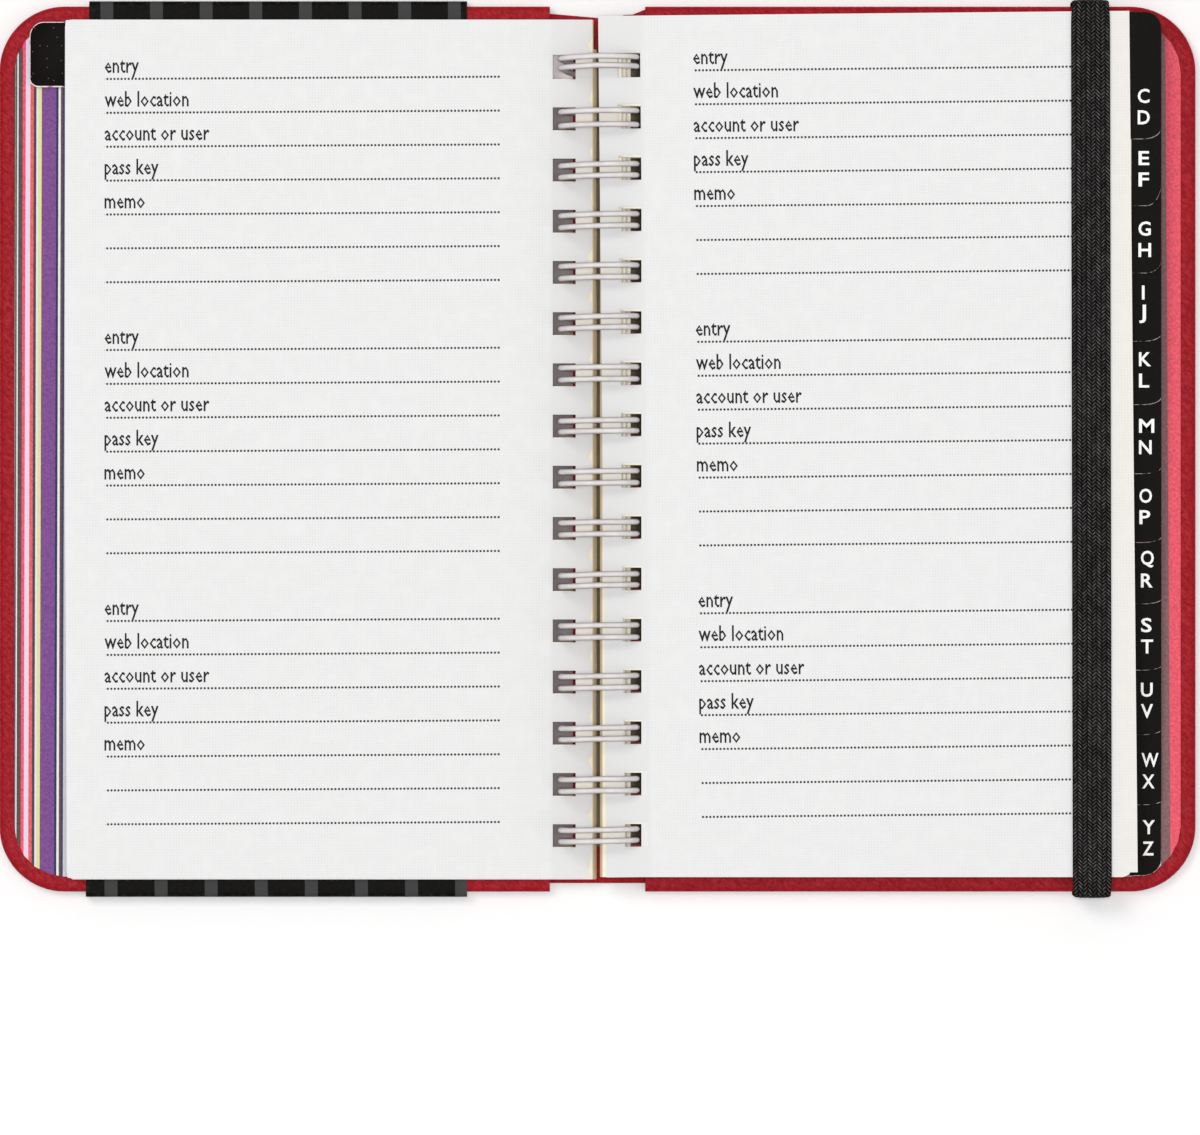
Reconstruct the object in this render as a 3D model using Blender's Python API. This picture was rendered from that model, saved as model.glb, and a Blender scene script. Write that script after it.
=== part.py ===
"""Pocket address book with a concealed double-loop wire binding, lying open.

The book lies on its two covers with the gutter on the Y axis: X runs across the
spread, Y up the page and Z up from the table.  The origin is on the table, in
the middle of the spread.  The leaves and the front cover all turn about the
wire's own centre line, so every turning piece hangs from an empty on that line.
"""

import math

import bmesh
import bpy

MM = 0.001

# ---- driving dimensions, in millimetres -------------------------------------
LOOP_PITCH = 25.4 / 3        # three loops to the inch
LOOPS = 16
LOOP_R = 6.7                 # centre line of the wire
WIRE_R = 0.45
STRAND_GAP = 2.3             # between the two strands of one loop
BASE_ANGLE, TIP_ANGLE = -82.0, 264.0   # where a finger starts and ends, in degrees
AXIS_Z = 8.0                 # height of the binding's centre line

HALF_SPREAD = 99.0           # gutter to fore edge of either cover
BOARD_EDGE = 7.9             # gutter to the spine edge of either board
COVER_HALF_H = 73.25
COVER_CORNER = 10.8
WRAP_T, TURN_IN_T, TURN_IN_W = 0.4, 0.3, 12.6
BOARD_T = 1.8
GAP = 0.1                    # between sheets that lie on each other

LEAF_EDGE = 0.35             # gutter to the bound edge of a leaf
LEAF_W = 88.1
TAB_W = 5.5
LEAF_HALF_H = 71.0
TABS = 13
TAB_STEP = 2 * LEAF_HALF_H / TABS
TAB_CORNER = 3.5
TAB_END_CORNER = 4.5
HOLE_IN, HOLE_OUT, HOLE_H = 3.0, 7.4, 4.0

SPINE_HALF_H = 71.9          # the spine strip is turned in a little at head and tail
COVER_STACK = WRAP_T + BOARD_T + TURN_IN_T + 0.2 + 3 * GAP   # a cover with its endpaper

ENDPAPER_INSET = 2.5
ENDPAPER_CORNER = 8.4
STACK_LOW, STACK_HIGH = 3.2, 9.7        # the right-hand stack
SECTIONS = ["cd", "ef", "gh", "ij", "kl", "mn", "op", "qr", "st", "uv", "wx", "yz"]

BAND_LOW_X, BAND_HIGH_X = -83.8, -21.6  # paper band round the front cover
BAND_T = 0.25
BAND_PLAY = 0.6                         # slack at the cover's head and tail
FRONT_LIFT = BAND_T + GAP               # the front cover lies on its band

ELASTIC_X, ELASTIC_W, ELASTIC_T = 81.65, 6.3, 0.9
ELASTIC_TAIL = 14.0
ELASTIC_SPLIT = 9.3          # height where the span meets the two end wraps
CORNER_STEPS = 5


# ---- small helpers ----------------------------------------------------------
def clear_scene():
    for obj in list(bpy.data.objects):
        bpy.data.objects.remove(obj, do_unlink=True)


def collection(name):
    made = bpy.data.collections.new(name)
    bpy.context.scene.collection.children.link(made)
    return made


def material(name, colour, roughness, metallic=0.0):
    mat = bpy.data.materials.new(name)
    mat.use_nodes = True
    shader = mat.node_tree.nodes["Principled BSDF"]
    shader.inputs["Base Color"].default_value = (*colour, 1.0)
    shader.inputs["Roughness"].default_value = roughness
    shader.inputs["Metallic"].default_value = metallic
    mat.diffuse_color = (*colour, 1.0)
    return mat


def rounded(corners):
    """Outline through (x, y, radius) corners, each rounded by an arc."""
    points = []
    count = len(corners)
    for i, (x, y, r) in enumerate(corners):
        if r <= 0:
            points.append((x, y))
            continue
        px, py, _ = corners[i - 1]
        nx, ny, _ = corners[(i + 1) % count]
        a = (px - x, py - y)
        b = (nx - x, ny - y)
        la, lb = math.hypot(*a), math.hypot(*b)
        a = (a[0] / la, a[1] / la)
        b = (b[0] / lb, b[1] / lb)
        # every corner here is square, so the arc's centre is one radius along both sides
        cx, cy = x + (a[0] + b[0]) * r, y + (a[1] + b[1]) * r
        for k in range(CORNER_STEPS + 1):
            t = k / CORNER_STEPS * math.pi / 2
            points.append((cx - b[0] * r * math.cos(t) - a[0] * r * math.sin(t),
                           cy - b[1] * r * math.cos(t) - a[1] * r * math.sin(t)))
    return points


def add_loop(curve, points):
    spline = curve.splines.new("POLY")
    spline.points.add(len(points) - 1)
    for p, (x, y) in zip(spline.points, points):
        p.co = (x * MM, y * MM, 0.0, 1.0)
    spline.use_cyclic_u = True


def plate(name, loops, low, high, mat, parent=None):
    """A flat sheet: filled outline, with its holes, between two heights."""
    curve = bpy.data.curves.new(name, "CURVE")
    curve.dimensions = "2D"
    curve.fill_mode = "BOTH"
    curve.extrude = (high - low) / 2 * MM
    for points in loops:
        add_loop(curve, points)
    obj = bpy.data.objects.new(name, curve)
    obj.location = (0, 0, (low + high) / 2 * MM)
    return finish(obj, mat, parent)


def strip(name, profile, x_mid, width, mat, parent=None):
    """A band with the given (y, z) side outline, running across X."""
    curve = bpy.data.curves.new(name, "CURVE")
    curve.dimensions = "2D"
    curve.fill_mode = "BOTH"
    curve.extrude = width / 2 * MM
    add_loop(curve, profile)
    obj = bpy.data.objects.new(name, curve)
    obj.location = (x_mid * MM, 0, 0)
    obj.rotation_euler = (math.radians(90), 0, math.radians(90))
    return finish(obj, mat, parent)


def finish(obj, mat, parent):
    BOOK.objects.link(obj)
    if mat is not None:
        obj.data.materials.append(mat)
    if parent is not None:
        obj.location = obj.location - parent.location
        obj.parent = parent
    return obj


def as_mesh(obj):
    """The curve as a closed mesh object with the same place, name and parent."""
    bpy.context.view_layer.update()
    graph = bpy.context.evaluated_depsgraph_get()
    mesh = bpy.data.meshes.new_from_object(obj.evaluated_get(graph))
    bm = bmesh.new()
    bm.from_mesh(mesh)
    bmesh.ops.remove_doubles(bm, verts=bm.verts, dist=1e-6)
    bmesh.ops.recalc_face_normals(bm, faces=bm.faces)
    bm.to_mesh(mesh)
    bm.free()
    name, world, parent = obj.name, obj.matrix_world.copy(), obj.parent
    bpy.data.objects.remove(obj, do_unlink=True)
    made = bpy.data.objects.new(name, mesh)
    BOOK.objects.link(made)
    made.matrix_world = world
    if parent is not None:
        made.parent = parent
        made.matrix_parent_inverse = parent.matrix_world.inverted()
    return made


def cutter(obj):
    obj = as_mesh(obj)
    BOOK.objects.unlink(obj)
    CUTTERS.objects.link(obj)
    obj.hide_render = True
    obj.display_type = "WIRE"
    return obj


def cut(obj, *tools):
    for tool in tools:
        mod = obj.modifiers.new(tool.name, "BOOLEAN")
        mod.operation = "DIFFERENCE"
        mod.solver = "EXACT"
        mod.object = tool
    return obj


def pivot(name, x, y, z):
    empty = bpy.data.objects.new(name, None)
    empty.location = (x * MM, y * MM, z * MM)
    empty.empty_display_size = 0.01
    BOOK.objects.link(empty)
    return empty


# ---- outlines ---------------------------------------------------------------
def cover_outline(side, inset, inner, corner):
    """Square at the spine, rounded at the fore edge. side is +1 right, -1 left."""
    far, high = side * (HALF_SPREAD - inset), COVER_HALF_H - inset
    return rounded([(side * inner, -high, 0), (far, -high, corner),
                    (far, high, corner), (side * inner, high, 0)])


def loop_y(i):
    return (i - (LOOPS - 1) / 2) * LOOP_PITCH


def binding_holes(side):
    half = HOLE_H / 2
    made = []
    for i in range(LOOPS):
        y = loop_y(i)
        made.append([(side * HOLE_IN, y - half), (side * HOLE_OUT, y - half),
                     (side * HOLE_OUT, y + half), (side * HOLE_IN, y + half)])
    return made


def leaf_outline(side, tab=None):
    """A leaf, or a pack of leaves whose divider reaches down to its own tab."""
    edge, page, far = side * LEAF_EDGE, side * LEAF_W, side * (LEAF_W + TAB_W)
    top, low = LEAF_HALF_H, -LEAF_HALF_H
    if tab is None:
        return rounded([(edge, low, 0), (page, low, 1.2), (page, top, 1.2), (edge, top, 0)])
    end = top - TAB_STEP * (tab + 1)
    if end < low + 0.5:
        return rounded([(edge, low, 0), (far, low, TAB_END_CORNER),
                        (far, top, TAB_END_CORNER), (edge, top, 0)])
    return rounded([(edge, low, 0), (page, low, 1.2), (page, end, 0),
                    (far, end, TAB_CORNER), (far, top, TAB_END_CORNER), (edge, top, 0)])


def wire_path():
    """Centre line of the wire: a comb of hairpins curled round the axis."""
    points = []

    def at(angle, y):
        a = math.radians(angle)
        points.append((LOOP_R * math.cos(a), y, AXIS_Z + LOOP_R * math.sin(a)))

    steps = 11
    half = STRAND_GAP / 2
    for i in range(LOOPS):
        y = loop_y(i)
        if i:
            at(BASE_ANGLE - 3, y - half - 0.8)
        for k in range(steps + 1):
            at(BASE_ANGLE + (TIP_ANGLE - BASE_ANGLE) * k / steps, y - half)
        at(TIP_ANGLE + 4, y - half / 2)
        at(TIP_ANGLE + 4, y + half / 2)
        for k in reversed(range(steps + 1)):
            at(BASE_ANGLE + (TIP_ANGLE - BASE_ANGLE) * k / steps, y + half)
        if i < LOOPS - 1:
            at(BASE_ANGLE - 3, y + half + 0.8)
    return points


# ---- pieces -----------------------------------------------------------------
def cover(prefix, side, base, parent, mats, elastic_slots):
    """Board, leatherette wrap with its turn-in, and nothing else."""
    top = base + WRAP_T + 2 * GAP + BOARD_T + TURN_IN_T
    wrap = as_mesh(plate(prefix + "_wrap",
                         [cover_outline(side, 0, BOARD_EDGE, COVER_CORNER)],
                         base, top, None, parent))
    wrap.data.materials.append(mats["leatherette"])
    window = cutter(plate(prefix + "_window",
                          [cover_outline(side, TURN_IN_W, BOARD_EDGE - 2, 3.0)],
                          base + WRAP_T + 0.9, top + 2, None))
    pocket = cutter(plate(prefix + "_pocket",
                          [cover_outline(side, WRAP_T, BOARD_EDGE - 2.5, COVER_CORNER - WRAP_T)],
                          base + WRAP_T, top - TURN_IN_T, None))
    board_low = base + WRAP_T + GAP
    board = as_mesh(plate(prefix + "_board",
                          [cover_outline(side, WRAP_T + GAP, BOARD_EDGE, COVER_CORNER - 0.5)],
                          board_low, board_low + BOARD_T, None, parent))
    board.data.materials.append(mats["greyboard"])
    slots = []
    if elastic_slots:
        half = ELASTIC_W / 2 + 0.2
        for end, sign in (("top", 1), ("bottom", -1)):
            y0, y1 = sign * (COVER_HALF_H - ELASTIC_TAIL - 1), sign * (COVER_HALF_H + 2)
            slots.append(cutter(plate(
                f"{prefix}_{end}_elastic_slot",
                [[(ELASTIC_X - half, y0), (ELASTIC_X + half, y0),
                  (ELASTIC_X + half, y1), (ELASTIC_X - half, y1)]],
                base + WRAP_T, base + WRAP_T + ELASTIC_T + 0.3, None)))
    cut(wrap, window, pocket, *slots)
    cut(board, *slots)
    return top


def sleeve(name, mat, parent):
    """The removable paper band: a flat tube round the front cover."""
    half = COVER_HALF_H + BAND_PLAY + BAND_T
    high = FRONT_LIFT + COVER_STACK + GAP + BAND_T
    width, mid = BAND_HIGH_X - BAND_LOW_X, (BAND_HIGH_X + BAND_LOW_X) / 2
    outer = as_mesh(strip(name, rounded([(-half, 0, 0.2), (half, 0, 0.2),
                                         (half, high, 0.2), (-half, high, 0.2)]),
                          mid, width, None, parent))
    outer.data.materials.append(mat)
    inner = half - BAND_T
    hollow = cutter(strip(name + "_hollow",
                          [(-inner, BAND_T), (inner, BAND_T),
                           (inner, high - BAND_T), (-inner, high - BAND_T)],
                          mid, width + 10, None))
    cut(outer, hollow)
    return high


def elastic(mats, span_parent):
    """Flat braided elastic: two ends glued under the wrap and a span over the page."""
    low = WRAP_T + GAP
    out = COVER_HALF_H + 0.5
    far = out + ELASTIC_T
    for end, s in (("top", 1), ("bottom", -1)):
        tail = COVER_HALF_H - ELASTIC_TAIL
        outline = [(tail, low), (far - 0.9, low), (far - 0.27, low + 0.27), (far, low + 0.9),
                   (far, ELASTIC_SPLIT - 0.1), (out, ELASTIC_SPLIT - 0.1),
                   (out, low + ELASTIC_T + 0.15), (out - 0.15, low + ELASTIC_T), (tail, low + ELASTIC_T)]
        strip(f"elastic_{end}_end", [(s * y, z) for y, z in outline],
              ELASTIC_X, ELASTIC_W, mats["elastic"])
    under = STACK_HIGH + GAP
    over = under + ELASTIC_T
    half = [(out, ELASTIC_SPLIT), (far, ELASTIC_SPLIT), (far, over - 0.7),
            (far - 0.2, over - 0.2), (far - 0.7, over)]
    inner = [(out - 0.2, under), (out, under - 0.2)]
    outline = half + [(-y, z) for y, z in reversed(half)] + [(-y, z) for y, z in reversed(inner)] + inner
    strip("elastic_span", outline, ELASTIC_X, ELASTIC_W, mats["elastic"], span_parent)


def build():
    mats = {
        "leatherette": material("red_leatherette", (0.38, 0.022, 0.030), 0.5),
        "greyboard": material("greyboard", (0.42, 0.40, 0.37), 0.9),
        "front_end": material("striped_endpaper", (0.22, 0.08, 0.33), 0.7),
        "back_end": material("pink_endpaper", (0.80, 0.10, 0.15), 0.7),
        "page": material("page_paper", (0.84, 0.84, 0.83), 0.8),
        "wire": material("white_coated_wire", (0.80, 0.79, 0.78), 0.3, 0.2),
        "elastic": material("black_braided_elastic", (0.015, 0.014, 0.014), 0.8),
        "band": material("black_band_paper", (0.012, 0.012, 0.011), 0.55),
    }
    binding_axis = pivot("binding_axis", 0, 0, AXIS_Z)
    band_guide = pivot("band_guide", (BAND_LOW_X + BAND_HIGH_X) / 2, 0, FRONT_LIFT)
    elastic_guide = pivot("elastic_guide", ELASTIC_X, 0, ELASTIC_SPLIT)

    # back cover, the half that stays on the table
    top = cover("back_cover", 1, 0.0, None, mats, True)
    plate("back_endpaper",
          [cover_outline(1, ENDPAPER_INSET, 0.6, ENDPAPER_CORNER)] + binding_holes(1),
          top + GAP, top + GAP + 0.3, mats["back_end"])
    edge = BOARD_EDGE - 0.4
    plate("spine_wrap", [[(-edge, -SPINE_HALF_H), (edge, -SPINE_HALF_H),
                          (edge, SPINE_HALF_H), (-edge, SPINE_HALF_H)]],
          0.05, 0.05 + WRAP_T, mats["leatherette"])

    # front cover, lying open on the left on top of its paper band
    top = cover("front_cover", -1, FRONT_LIFT, binding_axis, mats, False)
    plate("front_endpaper",
          [cover_outline(-1, ENDPAPER_INSET, BOARD_EDGE + 0.6, ENDPAPER_CORNER)],
          top + GAP, top + GAP + 0.2, mats["front_end"], binding_axis)
    band_top = sleeve("paper_band", mats["band"], band_guide)

    # left-hand leaves
    z = band_top + GAP
    for name, thick, tab in (("front_leaves", 0.45, None), ("section_ab", 0.45, 0),
                             ("left_page_leaf", 0.30, None)):
        plate(name, [leaf_outline(-1, tab)] + binding_holes(-1), z, z + thick,
              mats["page"], binding_axis)
        z += thick + GAP

    # right-hand leaves, one pack for each pair of index letters, the last one lowest
    pitch = (STACK_HIGH - STACK_LOW + GAP) / len(SECTIONS)
    for k, letters in enumerate(SECTIONS):
        high = STACK_HIGH - k * pitch
        plate("section_" + letters, [leaf_outline(1, k + 1)] + binding_holes(1),
              high - pitch + GAP, high, mats["page"], binding_axis)

    # double-loop wire
    curve = bpy.data.curves.new("wire_binding", "CURVE")
    curve.dimensions = "3D"
    curve.bevel_depth = WIRE_R * MM
    curve.bevel_resolution = 1
    curve.use_fill_caps = True
    path = wire_path()
    spline = curve.splines.new("POLY")
    spline.points.add(len(path) - 1)
    for p, (x, y, z) in zip(spline.points, path):
        p.co = (x * MM, y * MM, z * MM, 1.0)
    finish(bpy.data.objects.new("wire_binding", curve), mats["wire"], None)

    elastic(mats, elastic_guide)


clear_scene()
BOOK = collection("address_book")
CUTTERS = collection("cutters")
build()
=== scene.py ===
"""Looks of the wire-bound address book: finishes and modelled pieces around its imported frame.

Lengths below are in millimetres and are scaled once, when a mesh is made.
"""

import math

import bmesh
import bpy
import numpy as np
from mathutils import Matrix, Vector


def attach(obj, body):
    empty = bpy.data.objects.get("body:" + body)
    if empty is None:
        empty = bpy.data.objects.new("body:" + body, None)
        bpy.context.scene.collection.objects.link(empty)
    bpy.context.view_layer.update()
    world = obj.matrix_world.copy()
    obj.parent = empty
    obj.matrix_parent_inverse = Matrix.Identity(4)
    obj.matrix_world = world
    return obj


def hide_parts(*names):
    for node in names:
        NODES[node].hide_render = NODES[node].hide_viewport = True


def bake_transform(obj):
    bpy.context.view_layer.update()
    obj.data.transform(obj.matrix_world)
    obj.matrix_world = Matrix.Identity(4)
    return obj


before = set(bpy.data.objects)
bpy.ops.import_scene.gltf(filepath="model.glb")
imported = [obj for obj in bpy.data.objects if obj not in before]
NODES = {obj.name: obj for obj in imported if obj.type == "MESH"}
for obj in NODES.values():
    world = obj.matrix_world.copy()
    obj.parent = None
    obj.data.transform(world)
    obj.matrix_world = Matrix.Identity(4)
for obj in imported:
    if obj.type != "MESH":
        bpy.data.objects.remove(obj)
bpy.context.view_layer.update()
MM = 0.001
AXIS_Z = 8.0
TURN = 16.0                     # a leaf at height z lies at TURN - z once it is turned over


# ---- colours and node trees ---------------------------------------------------
def srgb(r, g, b):
    def lin(c):
        c = c / 255.0
        return c / 12.92 if c <= 0.04045 else ((c + 0.055) / 1.055) ** 2.4
    return (lin(r), lin(g), lin(b), 1.0)


class Finish:
    """A material whose colour, gloss and relief come from its nodes."""

    def __init__(self, name):
        self.mat = bpy.data.materials.new(name)
        self.mat.use_nodes = True
        self.tree = self.mat.node_tree
        self.shader = self.tree.nodes["Principled BSDF"]

    def put(self, socket, value):
        if isinstance(value, bpy.types.NodeSocket):
            self.tree.links.new(value, socket)
        else:
            socket.default_value = value

    def add(self, kind, inputs=None, **settings):
        node = self.tree.nodes.new("ShaderNode" + kind)
        for key, value in settings.items():
            setattr(node, key, value)
        for key, value in (inputs or {}).items():
            self.put(node.inputs[key], value)
        return node

    def set(self, **values):
        for key, value in values.items():
            self.put(self.shader.inputs[key.replace("_", " ")], value)
        return self

    def math(self, op, a, b=0.0, c=0.0, clamp=False):
        node = self.add("Math", operation=op, use_clamp=clamp)
        for i, v in enumerate((a, b, c)):
            self.put(node.inputs[i], v)
        return node.outputs[0]

    def mix(self, fac, a, b, blend="MIX"):
        node = self.add("Mix", data_type="RGBA", blend_type=blend)
        self.put(node.inputs[0], fac)
        self.put(node.inputs[6], a)
        self.put(node.inputs[7], b)
        return node.outputs[2]

    def attribute(self, name):
        return self.add("Attribute", attribute_name=name)

    def rest(self):
        """The piece's own coordinates in millimetres, stored on its mesh."""
        return self.attribute("rest").outputs["Vector"]

    def split(self, vector):
        node = self.add("SeparateXYZ", {"Vector": vector})
        return node.outputs[0], node.outputs[1], node.outputs[2]

    def join(self, x, y, z=0.0):
        return self.add("CombineXYZ", {0: x, 1: y, 2: z}).outputs[0]

    def object_mm(self):
        coords = self.add("TexCoord").outputs["Object"]
        return self.add("VectorMath", {0: coords, 3: 1000.0}, operation="SCALE").outputs[0]

    def turned(self, vector, rotation=(0, 0, 0), scale=(1, 1, 1)):
        """Turns the coordinates first and stretches them after."""
        return self.add("Mapping", {"Vector": vector, "Rotation": rotation, "Scale": [1.0 / s for s in scale]},
                        vector_type="TEXTURE").outputs[0]

    def noise(self, vector, scale, detail=2.0, rough=0.5, warp=0.0):
        return self.add("TexNoise", {"Vector": vector, "Scale": scale, "Detail": detail,
                                     "Roughness": rough, "Distortion": warp}).outputs["Fac"]

    def cells(self, vector, scale, feature="F1", rand=1.0, out="Distance", smooth=None):
        node = self.add("TexVoronoi", feature=feature)
        self.put(node.inputs["Vector"], vector)
        node.inputs["Scale"].default_value = scale
        node.inputs["Randomness"].default_value = rand
        if smooth is not None:
            node.inputs["Smoothness"].default_value = smooth
        return node.outputs[out]

    def map(self, value, a, b, c=0.0, d=1.0, smooth=True):
        node = self.add("MapRange", interpolation_type="SMOOTHSTEP" if smooth else "LINEAR")
        for i, v in enumerate((value, a, b, c, d)):
            self.put(node.inputs[i], v)
        return node.outputs[0]

    def ramp(self, fac, stops, hard=False):
        node = self.add("ValToRGB")
        band = node.color_ramp
        band.interpolation = "CONSTANT" if hard else "LINEAR"
        while len(band.elements) < len(stops):
            band.elements.new(1.0)
        for element, (place, colour) in zip(band.elements, stops):
            element.position = place
            element.color = colour
        self.put(node.inputs[0], fac)
        return node.outputs[0]

    def between(self, value, low, high):
        return self.math("MULTIPLY", self.math("GREATER_THAN", value, low),
                         self.math("LESS_THAN", value, high))

    def bump(self, height, strength, depth_mm, under=None):
        node = self.add("Bump", {"Strength": strength, "Distance": depth_mm * MM, "Height": height})
        if under is not None:
            self.put(node.inputs["Normal"], under)
        return node.outputs[0]


# ---- finishes -------------------------------------------------------------------
def leatherette():
    """Red leatherette with a fine slanting grain."""
    m = Finish("red_leatherette")
    rest = m.rest()
    fold = m.noise(m.turned(rest, (0, 0, math.radians(-45)), (0.62, 1.25, 1.0)), 1.62, 1.4, 0.5, 0.30)
    pebble = m.noise(rest, 2.15, 1.2, 0.5, 0.3)
    fine = m.noise(rest, 7.0, 2.0, 0.6)
    height = m.math("ADD", m.math("MULTIPLY", fold, 0.55),
                    m.math("ADD", m.math("MULTIPLY", pebble, 0.37), m.math("MULTIPLY", fine, 0.08)))
    grain = m.ramp(height, [(0.36, (0.246, 0.0042, 0.0086, 1)), (0.50, (0.322, 0.0056, 0.0126, 1)),
                            (0.64, (0.396, 0.0090, 0.0212, 1))])
    cloud = m.noise(rest, 0.045, 3.0, 0.6)
    tone = m.ramp(cloud, [(0.3, (0.95, 0.95, 0.95, 1)), (0.7, (1.04, 1.03, 1.03, 1))])
    colour = m.mix(1.0, grain, tone, "MULTIPLY")
    rim = m.attribute("rim").outputs["Fac"]
    scuff = m.math("MULTIPLY", rim, m.map(m.noise(rest, 1.1, 4.0, 0.7), 0.45, 0.75))
    colour = m.mix(m.math("MULTIPLY", scuff, 0.45), colour, (0.46, 0.030, 0.038, 1))
    rough = m.math("ADD", m.map(height, 0.35, 0.65, 0.62, 0.48), m.math("MULTIPLY", scuff, 0.12))
    m.set(Base_Color=colour, Roughness=rough, Specular_IOR_Level=0.10,
          Normal=m.bump(height, 0.60, 0.18))
    return m.mat


def lining(name, low, high, head=None):
    """Paper lining of the spine, on its inner side. head is a paler colour near the head, painted light there; without
    head the lining is painted darker towards the back-cover side, a painted shade.
    """
    m = Finish(name)
    rest = m.rest()
    fibre = m.noise(m.turned(rest, (0, 0, 0.3), (1.0, 0.35, 1.0)), 3.2, 4.0, 0.65)
    cloud = m.noise(rest, 0.22, 2.0, 0.5)
    colour = m.ramp(m.math("ADD", m.math("MULTIPLY", fibre, 0.5), m.math("MULTIPLY", cloud, 0.5)),
                    [(0.3, srgb(*low)), (0.7, srgb(*high))])
    x, y, _ = m.split(rest)
    if head:
        # painted light: the lining is paler near the head
        colour = m.mix(m.map(y, 56.0, 60.0), colour, srgb(*head))
    else:
        # painted shade: darker towards the back-cover side, at the bottom of the right holes
        colour = m.mix(m.map(x, 10.6, 12.8, 0.0, 0.75), colour, srgb(52, 47, 36))
    m.set(Base_Color=colour, Roughness=m.map(fibre, 0.3, 0.7, 0.80, 0.92), Specular_IOR_Level=0.12,
          Normal=m.bump(fibre, 0.3, 0.05))
    return m.mat


def greyboard():
    m = Finish("greyboard")
    rest = m.object_mm()
    fibre = m.noise(m.turned(rest, (0, 0, 0.2), (0.4, 1.6, 1.6)), 1.6, 5.0, 0.7)
    layers = m.noise(m.turned(rest, (0, 0, 0), (0.05, 0.05, 6.0)), 1.0, 3.0, 0.6)
    fleck = m.map(m.cells(rest, 1.3), 0.05, 0.14, 1.0, 0.0)
    colour = m.ramp(m.math("ADD", m.math("MULTIPLY", fibre, 0.6), m.math("MULTIPLY", layers, 0.4)),
                    [(0.3, srgb(150, 144, 134)), (0.7, srgb(186, 180, 168))])
    colour = m.mix(m.math("MULTIPLY", fleck, 0.5), colour, srgb(110, 104, 98))
    m.set(Base_Color=colour, Roughness=m.map(fibre, 0.3, 0.7, 0.82, 0.95), Specular_IOR_Level=0.2,
          Normal=m.bump(fibre, 0.5, 0.08))
    return m.mat


MORE_STRIPES = [(1.30, (236, 96, 112)), (0.60, (230, 224, 160)), (0.30, (60, 58, 62)), (1.60, (206, 196, 226)),
                (0.40, (142, 148, 112)), (0.50, (244, 88, 134)), (0.90, (84, 72, 76)), (0.30, (240, 240, 240)),
                (1.10, (92, 66, 140))]
FRONT_STRIPES = [  # width in mm and colour, from the fore edge inward
    (0.12, (60, 68, 76)), (0.10, (150, 150, 118)), (0.12, (62, 66, 88)), (0.14, (128, 136, 148)),
    (0.20, (238, 238, 242)), (0.08, (76, 66, 62)), (0.62, (98, 82, 75)), (0.46, (252, 88, 122)), (0.76, (232, 220, 240)), (0.56, (242, 100, 102)),
    (0.44, (78, 74, 88)), (0.33, (226, 236, 244)), (0.60, (234, 226, 154)), (2.40, (129, 81, 148)),
    (0.35, (50, 58, 92)), (0.37, (244, 244, 244)), (0.32, (114, 84, 66)), (0.36, (66, 74, 112)),
    (0.80, (222, 214, 234))] + MORE_STRIPES
BACK_STRIPES = [(2.05, (242, 94, 111)), (1.60, (138, 104, 105)), (0.56, (232, 220, 240)), (0.34, (64, 72, 108)),
                (0.62, (234, 226, 154))] + MORE_STRIPES + [(2.38, (130, 80, 154)), (0.36, (244, 244, 244))]


def striped_paper(name, stripes, slant, start=96.5):
    """Printed endpaper: stripes that run head to tail, cut slightly askew."""
    m = Finish(name)
    rest = m.object_mm()
    x, y, _ = m.split(rest)
    inward = m.math("SUBTRACT", m.math("SUBTRACT", start, m.math("ABSOLUTE", x)), m.math("MULTIPLY", y, slant))
    wobble = m.math("MULTIPLY", m.math("SUBTRACT", m.noise(m.join(x, m.math("MULTIPLY", y, 0.3)), 2.2, 2.0), 0.5), 0.05)
    inward = m.math("ADD", inward, wobble)
    period = sum(w for w, _ in stripes)
    stops, at = [], 0.0
    for width, colour in stripes:
        stops.append((at / period, srgb(*colour)))
        at += width
    place = m.math("FRACT", m.math("DIVIDE", m.math("MAXIMUM", inward, 0.0), period))
    colour = m.ramp(place, stops, hard=True)
    fibre = m.noise(m.turned(rest, (0, 0, 0.5), (1.0, 0.4, 1.0)), 4.0, 4.0, 0.7)
    speck = m.noise(rest, 2.3, 2.0, 0.6)
    shade = m.ramp(m.math("ADD", m.math("MULTIPLY", fibre, 0.5), m.math("MULTIPLY", speck, 0.5)),
                   [(0.38, (0.68, 0.68, 0.68, 1)), (0.62, (1.10, 1.10, 1.10, 1))])
    even = m.ramp(fibre, [(0.3, (0.85, 0.85, 0.85, 1)), (0.7, (0.94, 0.94, 0.94, 1))])
    pale = m.map(m.add("RGBToBW", {"Color": colour}).outputs[0], 0.30, 0.55)      # pale stripes print evenly
    colour = m.mix(1.0, colour, m.mix(pale, shade, even), "MULTIPLY")
    m.set(Base_Color=colour, Roughness=m.map(fibre, 0.3, 0.7, 0.55, 0.72), Specular_IOR_Level=0.12,
          Normal=m.bump(fibre, 0.25, 0.04))
    return m.mat


RULE_STEP, RULE_IN, RULE_OUT, DOT_STEP = 5.602, 16.05, 81.6, 0.60
Y0_RIGHT, Y0_LEFT = 61.97, 61.36


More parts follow.
